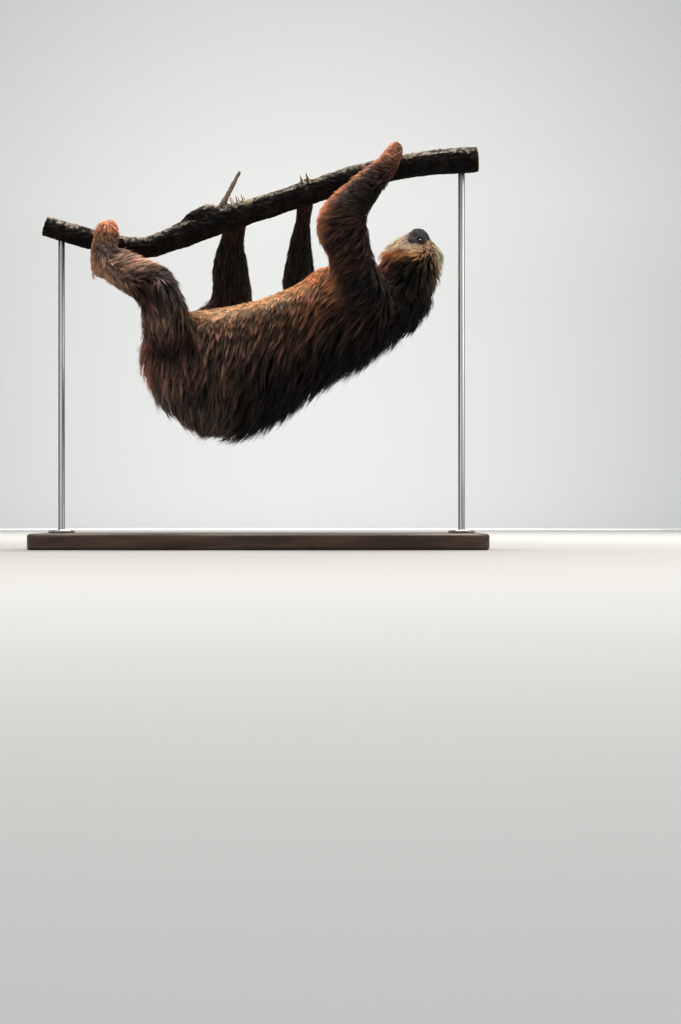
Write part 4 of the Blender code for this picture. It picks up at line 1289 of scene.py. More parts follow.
@dataclass
class Coat:
    """Hair as thin closed tapering tufts, gathered in locks, over the whole skin."""

    skin: Skin
    total: int = 82000
    per_lock: float = 6.0
    steps: int = 7
    long_from: float = 0.042  # hair longer than this has one more ring
    patch: float = 0.003  # one hair's share of the map
    strays: float = 0.07  # the share of hairs that leave their lock
    droop: float = 0.16  # how far long hair sinks from its lie, out at its tip
    swing: float = 5.2  # how far a lock gets through its wave, in radians
    keep: float = 0.38  # how much of its last direction a lock keeps at each step
    low: float = 0.66  # how much of the coat's depth the lowest locks reach
    spread: float = 0.38  # how much more the highest reach
    meet: float = 0.01  # how far above the skin a hair looks for its lock
    # painted shade and light: darker locks cooler, lighter locks redder
    dark_tint: Colour = (-0.5, 0.05, 0.38)  # dark locks are cooler
    light_tint: Colour = (0.08, -0.07, -0.03)  # light locks are redder
    eye_clear: tuple[float, float] = (0.0084, 0.0064)  # bare round each eye
    nose_clear: float = 0.0625  # bare ahead of this
    cuts: tuple[float, float, float] = (-0.115, -0.01, 0.095)  # X where the trunk's coat is parted

    def sown(self) -> dict[str, Rows]:
        """Scatters the roots over the skin by the crowd trait, and reads every trait there."""
        chance = np.random.default_rng(SEED)
        skin = self.skin
        triangles = skin.surface.triangles
        first, second, third = (skin.surface.points[triangles[:, i]] for i in range(3))
        area = np.linalg.norm(np.cross(second - first, third - first), axis=1) / 2
        crowd = skin.traits_at[:, Trait.CROWD] * self.clear()
        weight = area * crowd[triangles].mean(axis=1) * (crowd[triangles].min(axis=1) > 0.01)
        pick = np.searchsorted(np.cumsum(weight) / weight.sum(), chance.random(self.total))
        pick = np.minimum(pick, len(triangles) - 1)
        share = chance.dirichlet((1.0, 1.0, 1.0), self.total)
        corner = triangles[pick]

        def read(values: Rows) -> Rows:
            """A value of the skin's points, at each root."""
            return np.einsum("ij,ij...->i...", share, values[corner])

        return {
            "root": read(skin.surface.points),
            "normal": unit(read(skin.normals)),
            "traits": read(skin.traits_at),
            "lie": unit(read(skin.lie_at)),
            "stray": read(skin.stray_at),
            "tone": read(skin.tone_at),
            "node": skin.node[corner[:, 0]],
        }

    def clear(self) -> Rows:
        """One where hair may grow, and zero round the eyes' openings and on the nose."""
        skin = self.skin
        open_at = np.ones(len(skin.surface.points))
        for side in (1, -1):
            middle, out, long, tall = skin.eye_axes(side)
            away = skin.surface.points - middle
            near = (away @ long / self.eye_clear[0]) ** 2 + (away @ tall / self.eye_clear[1]) ** 2
            open_at[(near < 1.0) & (away @ out > 0)] = 0.0
        ahead = skin.head.inside(skin.surface.points)[:, 0]
        on_head = skin.traits_at[:, Trait.HEAD] > 0.5
        open_at[on_head & (ahead > self.nose_clear)] = 0.0
        return open_at

    def grown(self, sown: dict[str, Rows], chosen: Rows, rise: Rows) -> Rows:
        """Grows the middle hair of each lock over the skin and out to the coat's surface.

        Args:
            sown: the roots and what is known there.
            chosen: the roots that a lock grows round.
            rise: for each lock, how near the coat's surface it comes, from 0 to 1.

        Returns:
            The path of each lock: one row of points for each.
        """
        chance = np.random.default_rng(SEED + 1)
        skin = self.skin
        triangles = skin.surface.triangles
        lie_of = unit(skin.lie_at[triangles].mean(axis=1))
        normal_of = unit(skin.normals[triangles].mean(axis=1))
        depth_of = skin.traits_at[:, Trait.DEPTH][triangles].mean(axis=1)
        count = len(chosen)
        point, normal = sown["root"][chosen], sown["normal"][chosen]
        astray = chance.uniform(-1.8, 1.8, count)[:, None]
        lie = unit(sown["lie"][chosen] + sown["stray"][chosen] * astray)
        traits = sown["traits"][chosen]
        length = traits[:, Trait.LENGTH] * chance.uniform(0.82, 1.12, count)
        stride = length / self.steps
        long_hair = ease(0.02, 0.05, length)
        phase, swing = chance.uniform(0, math.tau, count), chance.uniform(0.7, 1.5, count)
        top = self.low + self.spread * rise
        steep = np.interp(length, (0.02, 0.035), (0.7, 0.93))
        bias = chance.normal(0.0, 0.1, count)
        path = [point]
        way = unit(lie + normal * np.interp(length, (0.01, 0.045), (0.3, 0.7))[:, None])
        ground, depth = point, traits[:, Trait.DEPTH]
        for step in range(1, self.steps + 1):
            s = step / self.steps
            aim = depth * top * (1.0 - (1.0 - s) ** 1.45)
            height = np.sum((point - ground) * normal, axis=1)
            lift = np.clip((aim - height) / stride, -0.55, steep)[:, None]
            sideways = np.cross(normal, lie)
            turn = traits[:, Trait.WAVE] * np.sin(phase + s * self.swing * swing) + bias
            along = unit(lie + sideways * turn[:, None])
            target = along * np.sqrt(1.0 - lift**2) + normal * lift
            target[:, 2] -= self.droop * s * long_hair
            way = unit(way * self.keep + target * (1.0 - self.keep))
            point = point + way * stride[:, None]
            ground, _, face = nearest(skin.tree, point)
            normal, lie, depth = normal_of[face], lie_of[face], depth_of[face]
            path.append(point)
        return self.held_in(np.stack(path, axis=1), traits, chance)

    def held_in(self, path: Rows, traits: Rows, chance: np.random.Generator) -> Rows:
        """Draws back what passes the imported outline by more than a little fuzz.

        Args:
            path: the locks' paths.
            traits: the traits at their roots.
            chance: the random numbers in use.

        Returns:
            The paths, held in.
        """
        fuzz = 0.0004 + 0.004 * chance.random(len(path)) ** 2
        fuzz *= np.clip(traits[:, Trait.DEPTH] / 0.016, 0.08, 1.6)
        for step in range(2, path.shape[1]):
            point = path[:, step]
            place, outward, _ = nearest(self.skin.hull, point)
            over = np.sum((point - place) * outward, axis=1) - fuzz * step / (path.shape[1] - 1)
            path[:, step] = point - outward * np.maximum(over, 0.0)[:, None]
        for _ in range(2):
            path[:, 1:-1] = path[:, 1:-1] * 0.5 + (path[:, :-2] + path[:, 2:]) * 0.25
        return path

    def gathered(self, sown: dict[str, Rows], locks: Rows) -> Rows:
        """Gathers the hairs in locks.

        Args:
            sown: the roots and what is known there.
            locks: the roots that the locks grow round.

        Returns:
            For each hair, the number of its nearest lock.
        """
        seek = sown["root"] + sown["normal"] * self.meet
        tree = KDTree(len(locks))
        for number, row in enumerate(locks):
            tree.insert(seek[row], number)
        tree.balance()
        return np.array([tree.find(point)[1] for point in seek])

    @staticmethod
    def shades(
        sown: dict[str, Rows], locks: Rows, rise: Rows, chance: np.random.Generator
    ) -> Rows:
        """How bright each lock is, as painted light and shade: lighter the higher it lies, darker
        the deeper, and more evenly in short fur.

        Args:
            sown: the roots and what is known there.
            locks: the roots that the locks grow round.
            rise: for each lock, how near the coat's surface it comes, from 0 to 1.
            chance: the random numbers in use.

        Returns:
            A factor for each lock.
        """
        glow = np.interp(rise, (0.0, 0.45, 0.75, 0.92, 1.0), (0.5, 0.72, 1.1, 1.75, 2.1))
        bright = sown["tone"][locks].mean(axis=1)
        uneven = np.interp(sown["traits"][locks, Trait.LENGTH], (0.008, 0.032), (0.22, 1.0))
        glow = 1.0 + (glow - 1.0) * uneven * np.interp(bright, (0.14, 0.4), (1.0, 0.35))
        return glow * np.clip(1.0 + 0.16 * chance.normal(size=len(locks)), 0.6, 1.5)

    def tinted(self, tone: Rows, tips: Rows, shade: Rows) -> Rows:
        """Lights and darkens the hairs as painted light and shade, the dark ones cooler and the
        light ones redder.

        Args:
            tone: the markings at the roots.
            tips: where the hairs end.
            shade: how bright each hair is, as a column.

        Returns:
            Each hair's colour.
        """
        tone = Markings.laid(tone, tips, FRINGE_PATCHES, np.ones(self.total)) * shade
        tone *= 1.0 + np.clip(1.0 - shade, 0.0, 0.6) * np.array(self.dark_tint)
        return tone * (1.0 + np.clip(shade - 1.0, 0.0, 1.0) * np.array(self.light_tint))

    def combed(self) -> dict[str, list[Sheaf]]:
        """Grows every hair with its lock and sorts them into the pieces of the coat."""
        chance = np.random.default_rng(SEED + 2)
        sown = self.sown()
        locks = chance.permutation(self.total)[: int(self.total / self.per_lock)]
        rise = chance.random(len(locks))
        path = self.grown(sown, locks, rise)
        lock = self.gathered(sown, locks)
        offset = sown["root"] - sown["root"][locks[lock]]
        stray = chance.random(self.total) < self.strays
        clump = sown["traits"][:, Trait.CLUMP] * chance.uniform(0.75, 1.12, self.total)
        clump = np.where(stray, 0.15, clump)
        stray_reach = chance.uniform(0.9, 1.15, self.total)
        reach = np.where(stray, stray_reach, chance.uniform(0.72, 1.04, self.total))
        length = sown["traits"][:, Trait.LENGTH]
        drift = unit(chance.normal(size=(self.total, 3)))
        drift *= (length * np.where(stray, 0.13, 0.035))[:, None]
        shade = self.shades(sown, locks, rise, chance)[lock]
        shade *= np.clip(1.0 + 0.18 * chance.normal(size=self.total), 0.5, 1.6)
        tone = self.tinted(sown["tone"], path[lock, -1], shade[:, None])
        # lifts the painted root shade on short hair and under pale markings
        short = np.interp(length, (0.008, 0.03), (0.45, 0.0))
        light = np.interp(sown["tone"].mean(axis=1), (0.12, 0.4), (0.0, 0.85))
        pale = np.maximum(short, light)
        width = sown["traits"][:, Trait.WIDTH] * chance.uniform(0.8, 1.2, self.total)
        width *= np.where(stray, 0.7, 1.0)
        flat = np.zeros((self.total, 2))
        names = self.piece_names(sown)
        for name in sorted(set(names)):
            mine = names == name
            flat[mine] = rolled_out(sown["root"][mine])
        out: dict[str, list[Sheaf]] = {}
        for cut in Cut:
            fits = (length > self.long_from) == (cut is Cut.LONG)
            for name in sorted(set(names)):
                rows = np.nonzero(fits & (names == name))[0]
                if not len(rows):
                    continue
                points = []
                for s in cut.stops:
                    at = np.clip(s * reach[rows], 0.0, 1.2) * self.steps
                    low = np.minimum(at.astype(int), self.steps - 1)
                    part = (at - low)[:, None]
                    middle = path[lock[rows], low] * (1 - part) + path[lock[rows], low + 1] * part
                    close = (1.0 - clump[rows] * s**0.85)[:, None]
                    points.append(middle + offset[rows] * close + drift[rows] * s**1.6)
                line = np.stack(points, axis=1)
                sheaf = Sheaf(cut, line, width[rows], tone[rows], pale[rows], flat[rows])
                out.setdefault(name, []).append(sheaf)
        return out

    def piece_names(self, sown: dict[str, Rows]) -> Rows:
        """Names the piece of the coat that each root belongs to."""
        names = np.empty(self.total, dtype=object)
        for number, node in enumerate(self.skin.names):
            mine = sown["node"] == number
            region = Region.of_node(node)
            if region is Region.TRUNK:
                part = np.searchsorted(self.cuts, sown["root"][mine, 0], side="right")
                names[mine] = np.array(["coat_rump", "coat_loin", "coat_flank", "coat_chest"])[part]
            elif region in LIMB_LAYS:
                end = "root" if region in (Region.UPPER_ARM, Region.THIGH) else "end"
                names[mine] = "_".join(("coat", *node.split("_")[:2], end))
            elif region is Region.NECK:
                names[mine] = "coat_neck"
            else:
                names[mine] = "coat_head"
        return names.astype(str)

    def meshed(self, name: str, sheaves: list[Sheaf]) -> bpy.types.Mesh:
        """Builds one piece of the coat.

        Args:
            name: the piece's name.
            sheaves: its hairs.

        Returns:
            A mesh of closed three-sided tufts with the map OFBake, and with the attributes tone
            and along.
        """
        chance = np.random.default_rng(SEED + len(name))
        coords, tones, alongs, corners, sizes, maps = [], [], [], [], [], []
        base = 0
        for sheaf in sheaves:
            stops, girth = sheaf.cut.stops, sheaf.cut.girth
            count, rings = len(sheaf.points), len(girth)
            step = rings * 3 + 1
            way = unit(np.gradient(sheaf.points, axis=1))
            ref = unit(chance.normal(size=(count, 1, 3)))
            first = unit(np.cross(way, ref))
            second = np.cross(way, first)
            verts = np.empty((count, step, 3))
            for corner in range(3):
                angle = math.tau * corner / 3
                spread = first * math.cos(angle) + second * math.sin(angle)
                radius = sheaf.width[:, None, None] * 0.5 * girth[None, :, None]
                reach = spread[:, :rings] * radius
                verts[:, corner : rings * 3 : 3] = sheaf.points[:, :rings] + reach
            verts[:, -1] = sheaf.points[:, -1]
            coords.append(verts.reshape(-1, 3))
            tones.append(np.repeat(sheaf.tone, step, axis=0))
            level = np.append(np.repeat(stops[:-1], 3), 1.0)
            pale = sheaf.pale[:, None]
            alongs.append((pale + (1 - pale) * level[None, :]).ravel())
            loops, lengths, spots = self.pattern(rings, stops)
            corners.append((np.arange(count)[:, None] * step + loops[None, :] + base).ravel())
            sizes.append(np.tile(lengths, count))
            maps.append((sheaf.flat[:, None, :] + spots[None] * self.patch).reshape(-1, 2))
            base += count * step
        return from_arrays(name, coords, corners, sizes, maps, tones, alongs)

    @staticmethod
    def pattern(rings: int, stops: Rows) -> tuple[Rows, Rows, Rows]:
        """The faces of one hair.

        Args:
            rings: how many rings it has.
            stops: the places of its rings and tip along it.

        Returns:
            Its faces' corners, their sizes, and each corner's place on the hair's patch of the map.
        """
        loops, sizes, spots = [2, 1, 0], [3], [(0.9, 0.0), (0.5, 0.05), (0.1, 0.0)]
        for ring in range(rings - 1):
            for corner in range(3):
                after = (corner + 1) % 3
                low, high = ring * 3, ring * 3 + 3
                loops += [low + corner, low + after, high + after, high + corner]
                sizes.append(4)
                left, right = corner / 3, (corner + 1) / 3
                near, far = stops[ring], stops[ring + 1]
                spots += [(left, near), (right, near), (right, far), (left, far)]
        low = (rings - 1) * 3
        for corner in range(3):
            loops += [low + corner, low + (corner + 1) % 3, rings * 3]
            sizes.append(3)
            left, right = corner / 3, (corner + 1) / 3
            spots += [(left, stops[-2]), (right, stops[-2]), ((left + right) / 2, 1.0)]
        return np.array(loops), np.array(sizes), np.array(spots)

    def show(self) -> None:
        """Builds and places every piece of the coat."""
        material = Hair().material()
        for name, sheaves in sorted(self.combed().items()):
            slot = "limb_coat" if "limb" in name else "face_coat" if "head" in name else "coat"
            placed(shown(name, self.meshed(name, sheaves), material), slot)


def rolled_out(points: Rows) -> Rows:
    """Unrolls a body part round its own bent middle line, to fill the map from 0 to 1.

    Args:
        points: places on that part of the skin.

    Returns:
        Each place's two numbers on the map: its angle round the part and its place along it.
    """
    middle = points.mean(axis=0)
    _, axes = np.linalg.eigh(np.cov((points - middle).T))
    long, wide, tall = axes[:, 2], axes[:, 1], axes[:, 0]
    along = (points - middle) @ long
    sides = [(points - middle) @ way for way in (wide, tall)]
    lines = [np.polyfit(along, side, 3) for side in sides]
    bent = [side - np.polyval(line, along) for side, line in zip(sides, lines)]
    angle = np.arctan2(bent[0], bent[1]) / math.tau + 0.5
    low, high = along.min(), along.max()
    spots = np.stack([angle, (along - low) / (high - low)], axis=1)
    return 0.004 + 0.988 * spots  # leaves room at the edge for the last hair's patch


def from_arrays(
    name: str,
    coords: list[Rows],
    corners: list[Rows],
    sizes: list[Rows],
    maps: list[Rows],
    tones: list[Rows],
    alongs: list[Rows],
) -> bpy.types.Mesh:
    """Joins arrays of hairs into one mesh.

    Args:
        name: the mesh's name.
        coords: points.
        corners: the faces' corners in turn.
        sizes: how many corners each face has.
        maps: each corner's place on the map.
        tones: each point's colour.
        alongs: each point's place along its hair.

    Returns:
        The mesh.
    """
    mesh = bpy.data.meshes.new(name)
    points, loops, count = np.concatenate(coords), np.concatenate(corners), np.concatenate(sizes)
    mesh.vertices.add(len(points))
    mesh.vertices.foreach_set("co", points.astype(np.float32).ravel())
    mesh.loops.add(len(loops))
    mesh.loops.foreach_set("vertex_index", loops.astype(np.int32))
    mesh.polygons.add(len(count))
    mesh.polygons.foreach_set("loop_start", (np.cumsum(count) - count).astype(np.int32))
    mesh.update(calc_edges=True)
    layer = mesh.uv_layers.new(name="OFBake")
    layer.data.foreach_set("uv", np.concatenate(maps).astype(np.float32).ravel())
    store_colour(mesh, np.concatenate(tones))
    store_value(mesh, "along", np.concatenate(alongs))
    return mesh


# ---- Eyes and claws


@dataclass(frozen=True)
class WetEye:
    """A near-black pupil in a dark brown iris and a dull brown white, all under a wet coat."""

    pupil: Colour = (0.004, 0.003, 0.003)
    iris: Colour = (0.03, 0.016, 0.009)
    iris_dark: Colour = (0.012, 0.007, 0.005)
    white: Colour = (0.04, 0.028, 0.026)
    fibres: float = 1500.0

    def material(self) -> bpy.types.Material:
        """Makes the finish, whose rings follow the ball's attribute polar."""
        finish = Finish(
            "eye",
            Roughness=0.14,
            Specular_IOR_Level=0.2,
            Coat_Weight=0.08,
            Coat_Roughness=0.08,
            IOR=1.36,
        )
        polar = finish.attribute("polar")
        fibres = finish.noise(finish.place(), self.fibres, 3.0)
        iris = finish.mix(fibres, self.iris, self.iris_dark)
        colour = finish.mix(polar.ramp(0.085, 0.105), self.pupil, iris)
        colour = finish.mix(polar.ramp(0.2, 0.225), colour, self.white)
        return finish.dress(Base_Color=colour, Roughness=0.12 + polar.ramp(0.2, 0.28) * 0.2)


@dataclass
class Eyes:
    """Two dark, wet eyeballs, each with a clear bulge in front."""

    skin: Skin
    bulge: float = 0.0005
    bulge_angle: float = 0.62  # how far round from the front it reaches, in radians

    def ball(self, side: int) -> tuple[bmesh.types.BMesh, Rows]:
        """Turns a ball to face out between the lids.

        Args:
            side: 1 for the left eye, -1 for the right.

        Returns:
            The ball, and each point's angle from its front as a share of a half turn.
        """
        middle, out, long, tall = self.skin.eye_axes(side)
        radius = self.skin.eye_radius
        bm = bmesh.new()
        bmesh.ops.create_uvsphere(bm, u_segments=48, v_segments=32, radius=radius)
        polar = []
        for vertex in bm.verts:
            angle = math.acos(max(-1.0, min(1.0, vertex.co.z / radius)))
            polar.append(angle / math.pi)
            rise = max(0.0, 1.0 - (angle / self.bulge_angle) ** 2)
            vertex.co *= 1.0 + self.bulge / radius * rise
        turn = Matrix((long, tall, out)).transposed().to_4x4()
        bmesh.ops.transform(bm, matrix=Matrix.Translation(middle) @ turn, verts=bm.verts)
        bmesh.ops.recalc_face_normals(bm, faces=bm.faces)
        return bm, np.array(polar)

    def show(self) -> None:
        """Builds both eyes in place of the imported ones."""
        material = WetEye().material()
        for side, name in ((1, "left"), (-1, "right")):
            bm, polar = self.ball(side)
            eye = shown(f"eyeball_{name}", bm, material)
            store_value(eye.data, "polar", polar)
            placed(eye, "eye", f"eye_{name}")


@dataclass(frozen=True)
class Horn:
    """Horn: dark and scuffed at the root, paler to the tip, with fine lines along it."""

    root: Colour = (0.085, 0.055, 0.036)
    tip: Colour = (0.3, 0.225, 0.15)
    scuff: Colour = (0.05, 0.034, 0.026)
    clouds: float = 260.0
    lines: float = 700.0
    relief: float = 0.0003

    def material(self) -> bpy.types.Material:
        """Makes the finish, which follows the claw's attribute along."""
        finish = Finish("claw_horn", Roughness=0.38, Specular_IOR_Level=0.45)
        along = finish.attribute("along")
        cloud = finish.noise(finish.place(), self.clouds, 4.0)
        lines = finish.noise(finish.stretched((1.0, 6.0, 1.0)), self.lines, 2.0)
        colour = finish.mix(along.ramp(0.05, 0.95), self.root, self.tip)
        colour = finish.mix(cloud.ramp(0.4, 0.72) * 0.5, colour, self.scuff)
        return finish.dress(
            Base_Color=colour,
            Roughness=0.28 + cloud * 0.24,
            Normal=finish.relief(lines + cloud * 0.5, self.relief, 0.6),
        )


@dataclass
class Claws:
    """The long hooks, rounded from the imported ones."""

    nodes: Nodes

    def show(self) -> None:
        """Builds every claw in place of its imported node."""
        material = Horn().material()
        for name in sorted(self.nodes):
            if "_claw_" not in name:
                continue
            rough = shown("horn_" + name, copied(self.nodes, [name]))
            change = rough.modifiers.new("round", "SUBSURF")
            change.levels = change.render_levels = 2
            mesh = settled(rough)
            points = np.array([vertex.co for vertex in mesh.vertices])
            hand = middle_of(name.split("_claw_")[0] + ("_hand" if "fore" in name else "_foot"))
            root = points[np.argmin(np.linalg.norm(points - np.array(hand), axis=1))]
            away = np.linalg.norm(points - root, axis=1)
            store_value(mesh, "along", away / away.max())
            placed(shown("horn_" + name, mesh, material), "claw", name)


# ---- Branch and stand


@dataclass(frozen=True)
class Bark:
    """Near-black bark below, its own dark colour deepened by painted shade, pale crusts of lichen
    above, and sawn wood at the ends.
    """

    # near-black bark: its own dark colour, deepened as painted shade
    wet: tuple[Colour, Colour] = ((0.003, 0.003, 0.0032), (0.013, 0.011, 0.01))
    brown: Colour = (0.03, 0.023, 0.018)
    lichen: tuple[Colour, Colour] = ((0.1, 0.084, 0.066), (0.23, 0.2, 0.165))
    moss: Colour = (0.07, 0.075, 0.022)
    crack: Colour = (0.006, 0.005, 0.005)
    twig: Colour = (0.27, 0.205, 0.15)
    sawn: tuple[Colour, Colour] = ((0.33, 0.215, 0.12), (0.215, 0.13, 0.068))
    pith: Colour = (0.13, 0.075, 0.04)
    year_rings: float = 3900.0
    relief: float = 0.0016

    def material(self) -> bpy.types.Material:
        """Makes the finish, which follows the branch's attributes."""
        finish = Finish("bark", Roughness=0.88, Specular_IOR_Level=0.03)
        where = finish.place()
        names = ("groove", "top", "cut", "ring", "twig")
        groove, top, cut, ring, twig = (finish.attribute(name) for name in names)
        grain = finish.noise(finish.stretched((0.35, 1.0, 1.0)), 260.0, 5.0, 0.65)
        cloud = finish.noise(where, 42.0, 4.0, 0.6)
        crust = finish.noise(where, 150.0, 5.0, 0.7)
        colour = finish.mix(grain.ramp(0.35, 0.68), *self.wet)
        colour = finish.mix(cloud.ramp(0.45, 0.7) * 0.4, colour, self.brown)
        lichen = (top * 0.9 + cloud * 0.65 + crust * 1.0).ramp(1.5, 1.66)
        pale = finish.mix(crust.ramp(0.4, 0.65), *self.lichen)
        colour = finish.mix(lichen * 0.92, colour, pale)
        moss = (top * 0.5 + finish.noise(where, 23.0, 3.0)).ramp(1.02, 1.16)
        colour = finish.mix(moss * 0.5, colour, self.moss)
        colour = finish.mix(groove.ramp(0.35, 0.95) * 0.75, colour, self.crack)
        wave = {0: ring * self.year_rings + cloud * 5.0}
        rings = finish.node("ShaderNodeMath", {"operation": "SINE"}, wave)
        sawn = finish.mix(rings.ramp(-0.4, 0.9) * 0.7, *self.sawn)
        sawn = finish.mix(ring.ramp(0.0, 0.006), self.pith, sawn)
        colour = finish.mix(twig * (0.55 + cloud * 0.45), colour, self.twig)
        colour = finish.mix(cut.ramp(0.45, 0.75), colour, sawn)
        height = grain * 1.2 + crust * 0.8 + lichen * 0.4
        return finish.dress(
            Base_Color=colour,
            Roughness=0.72 + crust * 0.22,
            Normal=finish.relief(height, self.relief, 0.9),
        )


@dataclass
class Perch:
    """The cut length of living branch, with furrowed bark, lichen and two sawn ends."""

    nodes: Nodes
    voxel: float = 0.0022
    furrow: float = 0.0024
    cracks: Colour = (26.0, 95.0, 95.0)  # how many to the metre each way
    flakes: Colour = (60.0, 120.0, 120.0)
    plates: Colour = (70.0, 130.0, 130.0)
    saw_edge: float = 0.004  # nearer to an end than this a face across the branch is sawn
    end: float = 0.006  # how far in the year rings are drawn
    twig: tuple[float, float] = (-0.06, 0.045)  # X of the side twig, and its reach
    twig_rise: tuple[float, float] = (0.612, 0.626)  # Z over which its bark turns paler

    def grooved(self, points: Rows) -> Rows:
        """How deep the bark is broken at each point, from 0 to about 1."""
        groove = np.empty(len(points))
        for row, point in enumerate(points):
            crack = abs(noise.noise(Vector(point * self.cracks))) * 2.0
            flake = noise.fractal(Vector(point * self.flakes), 0.8, 2.0, 4)
            plate = noise.voronoi(Vector(point * self.plates))[0]
            edge = 1.0 - min(1.0, (plate[1] - plate[0]) * 3.2)
            seam = 1.0 - min(1.0, crack * 2.4)
            groove[row] = 0.55 * seam + 0.35 * edge + 0.3 * (0.5 - 0.5 * flake)
        return np.clip(groove, 0.0, 1.1)

    def show(self) -> None:
        """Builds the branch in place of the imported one."""
        mesh = remeshed("branch", copied(self.nodes, ["perch_branch"]), self.voxel)
        surface = Surface(mesh)
        surface.points = surface.averaged(surface.points, 2)
        normals = unit(surface.averaged(surface.normals(), 2))
        x = surface.points[:, 0]
        low, high = x.min(), x.max()
        at_end = (x < low + self.saw_edge) | (x > high - self.saw_edge)
        cut = np.where((np.abs(normals[:, 0]) > 0.6) & at_end, 1.0, 0.0)
        cut = surface.averaged(cut, 1)
        groove = self.grooved(surface.points) * (1.0 - cut)
        surface.points -= normals * (groove * self.furrow)[:, None]
        surface.store()
        x, z = surface.points[:, 0], surface.points[:, 2]
        ring = np.zeros(len(x))
        for end in (low, high):
            rim = np.abs(x - end) < self.end
            middle = surface.points[rim].mean(axis=0)
            ring[rim] = np.linalg.norm((surface.points[rim] - middle)[:, 1:], axis=1)
        twig = ease(*self.twig_rise, z) * (np.abs(x - self.twig[0]) < self.twig[1])
        store_value(mesh, "twig", twig)
        store_value(mesh, "groove", groove)
        store_value(mesh, "top", np.clip(normals[:, 2] * 0.5 + 0.5, 0, 1))
        store_value(mesh, "cut", cut)
        store_value(mesh, "ring", ring)
        placed(shown("branch_bark", mesh, Bark().material()), "bark", "perch_branch")


@dataclass(frozen=True)
class OiledWood:
    """Dark oiled hardwood, its grain along the base."""

    pale: Colour = (0.105, 0.055, 0.03)
    dark: Colour = (0.04, 0.02, 0.012)
    pore: Colour = (0.018, 0.009, 0.006)
    grain: Colour = (1.2, 14.0, 14.0)
    pore_grain: Colour = (4.0, 150.0, 150.0)
    relief: float = 0.0003

    def material(self) -> bpy.types.Material:
        """Makes the finish."""
        finish = Finish("stand_wood", Roughness=0.42, Specular_IOR_Level=0.4)
        warp = finish.noise(finish.place(), 5.0, 2.0)
        bands = finish.noise(finish.stretched(self.grain), 5.5, 5.0, 0.62)
        pores = finish.noise(finish.stretched(self.pore_grain), 6.0, 3.0, 0.7)
        colour = finish.mix((bands + warp * 0.3).ramp(0.45, 0.85), self.pale, self.dark)
        colour = finish.mix(pores.ramp(0.52, 0.68) * 0.7, colour, self.pore)
        return finish.dress(
            Base_Color=colour,
            Roughness=0.34 + pores * 0.22,
            Normal=finish.relief(pores, self.relief, 0.4),
        )


@dataclass(frozen=True)
class BrushedSteel:
    """Steel brushed along its length."""

    dark: Colour = (0.42, 0.425, 0.43)
    pale: Colour = (0.56, 0.56, 0.555)
    brush: Colour = (900.0, 900.0, 25.0)
    relief: float = 0.0001

    def material(self) -> bpy.types.Material:
        """Makes the finish."""
        finish = Finish("stand_steel", Metallic=1.0, Roughness=0.3)
        lines = finish.noise(finish.stretched(self.brush), 1.0, 3.0)
        return finish.dress(
            Base_Color=finish.mix(lines, self.dark, self.pale),
            Roughness=0.22 + lines * 0.2,
            Normal=finish.relief(lines, self.relief, 0.3),
        )


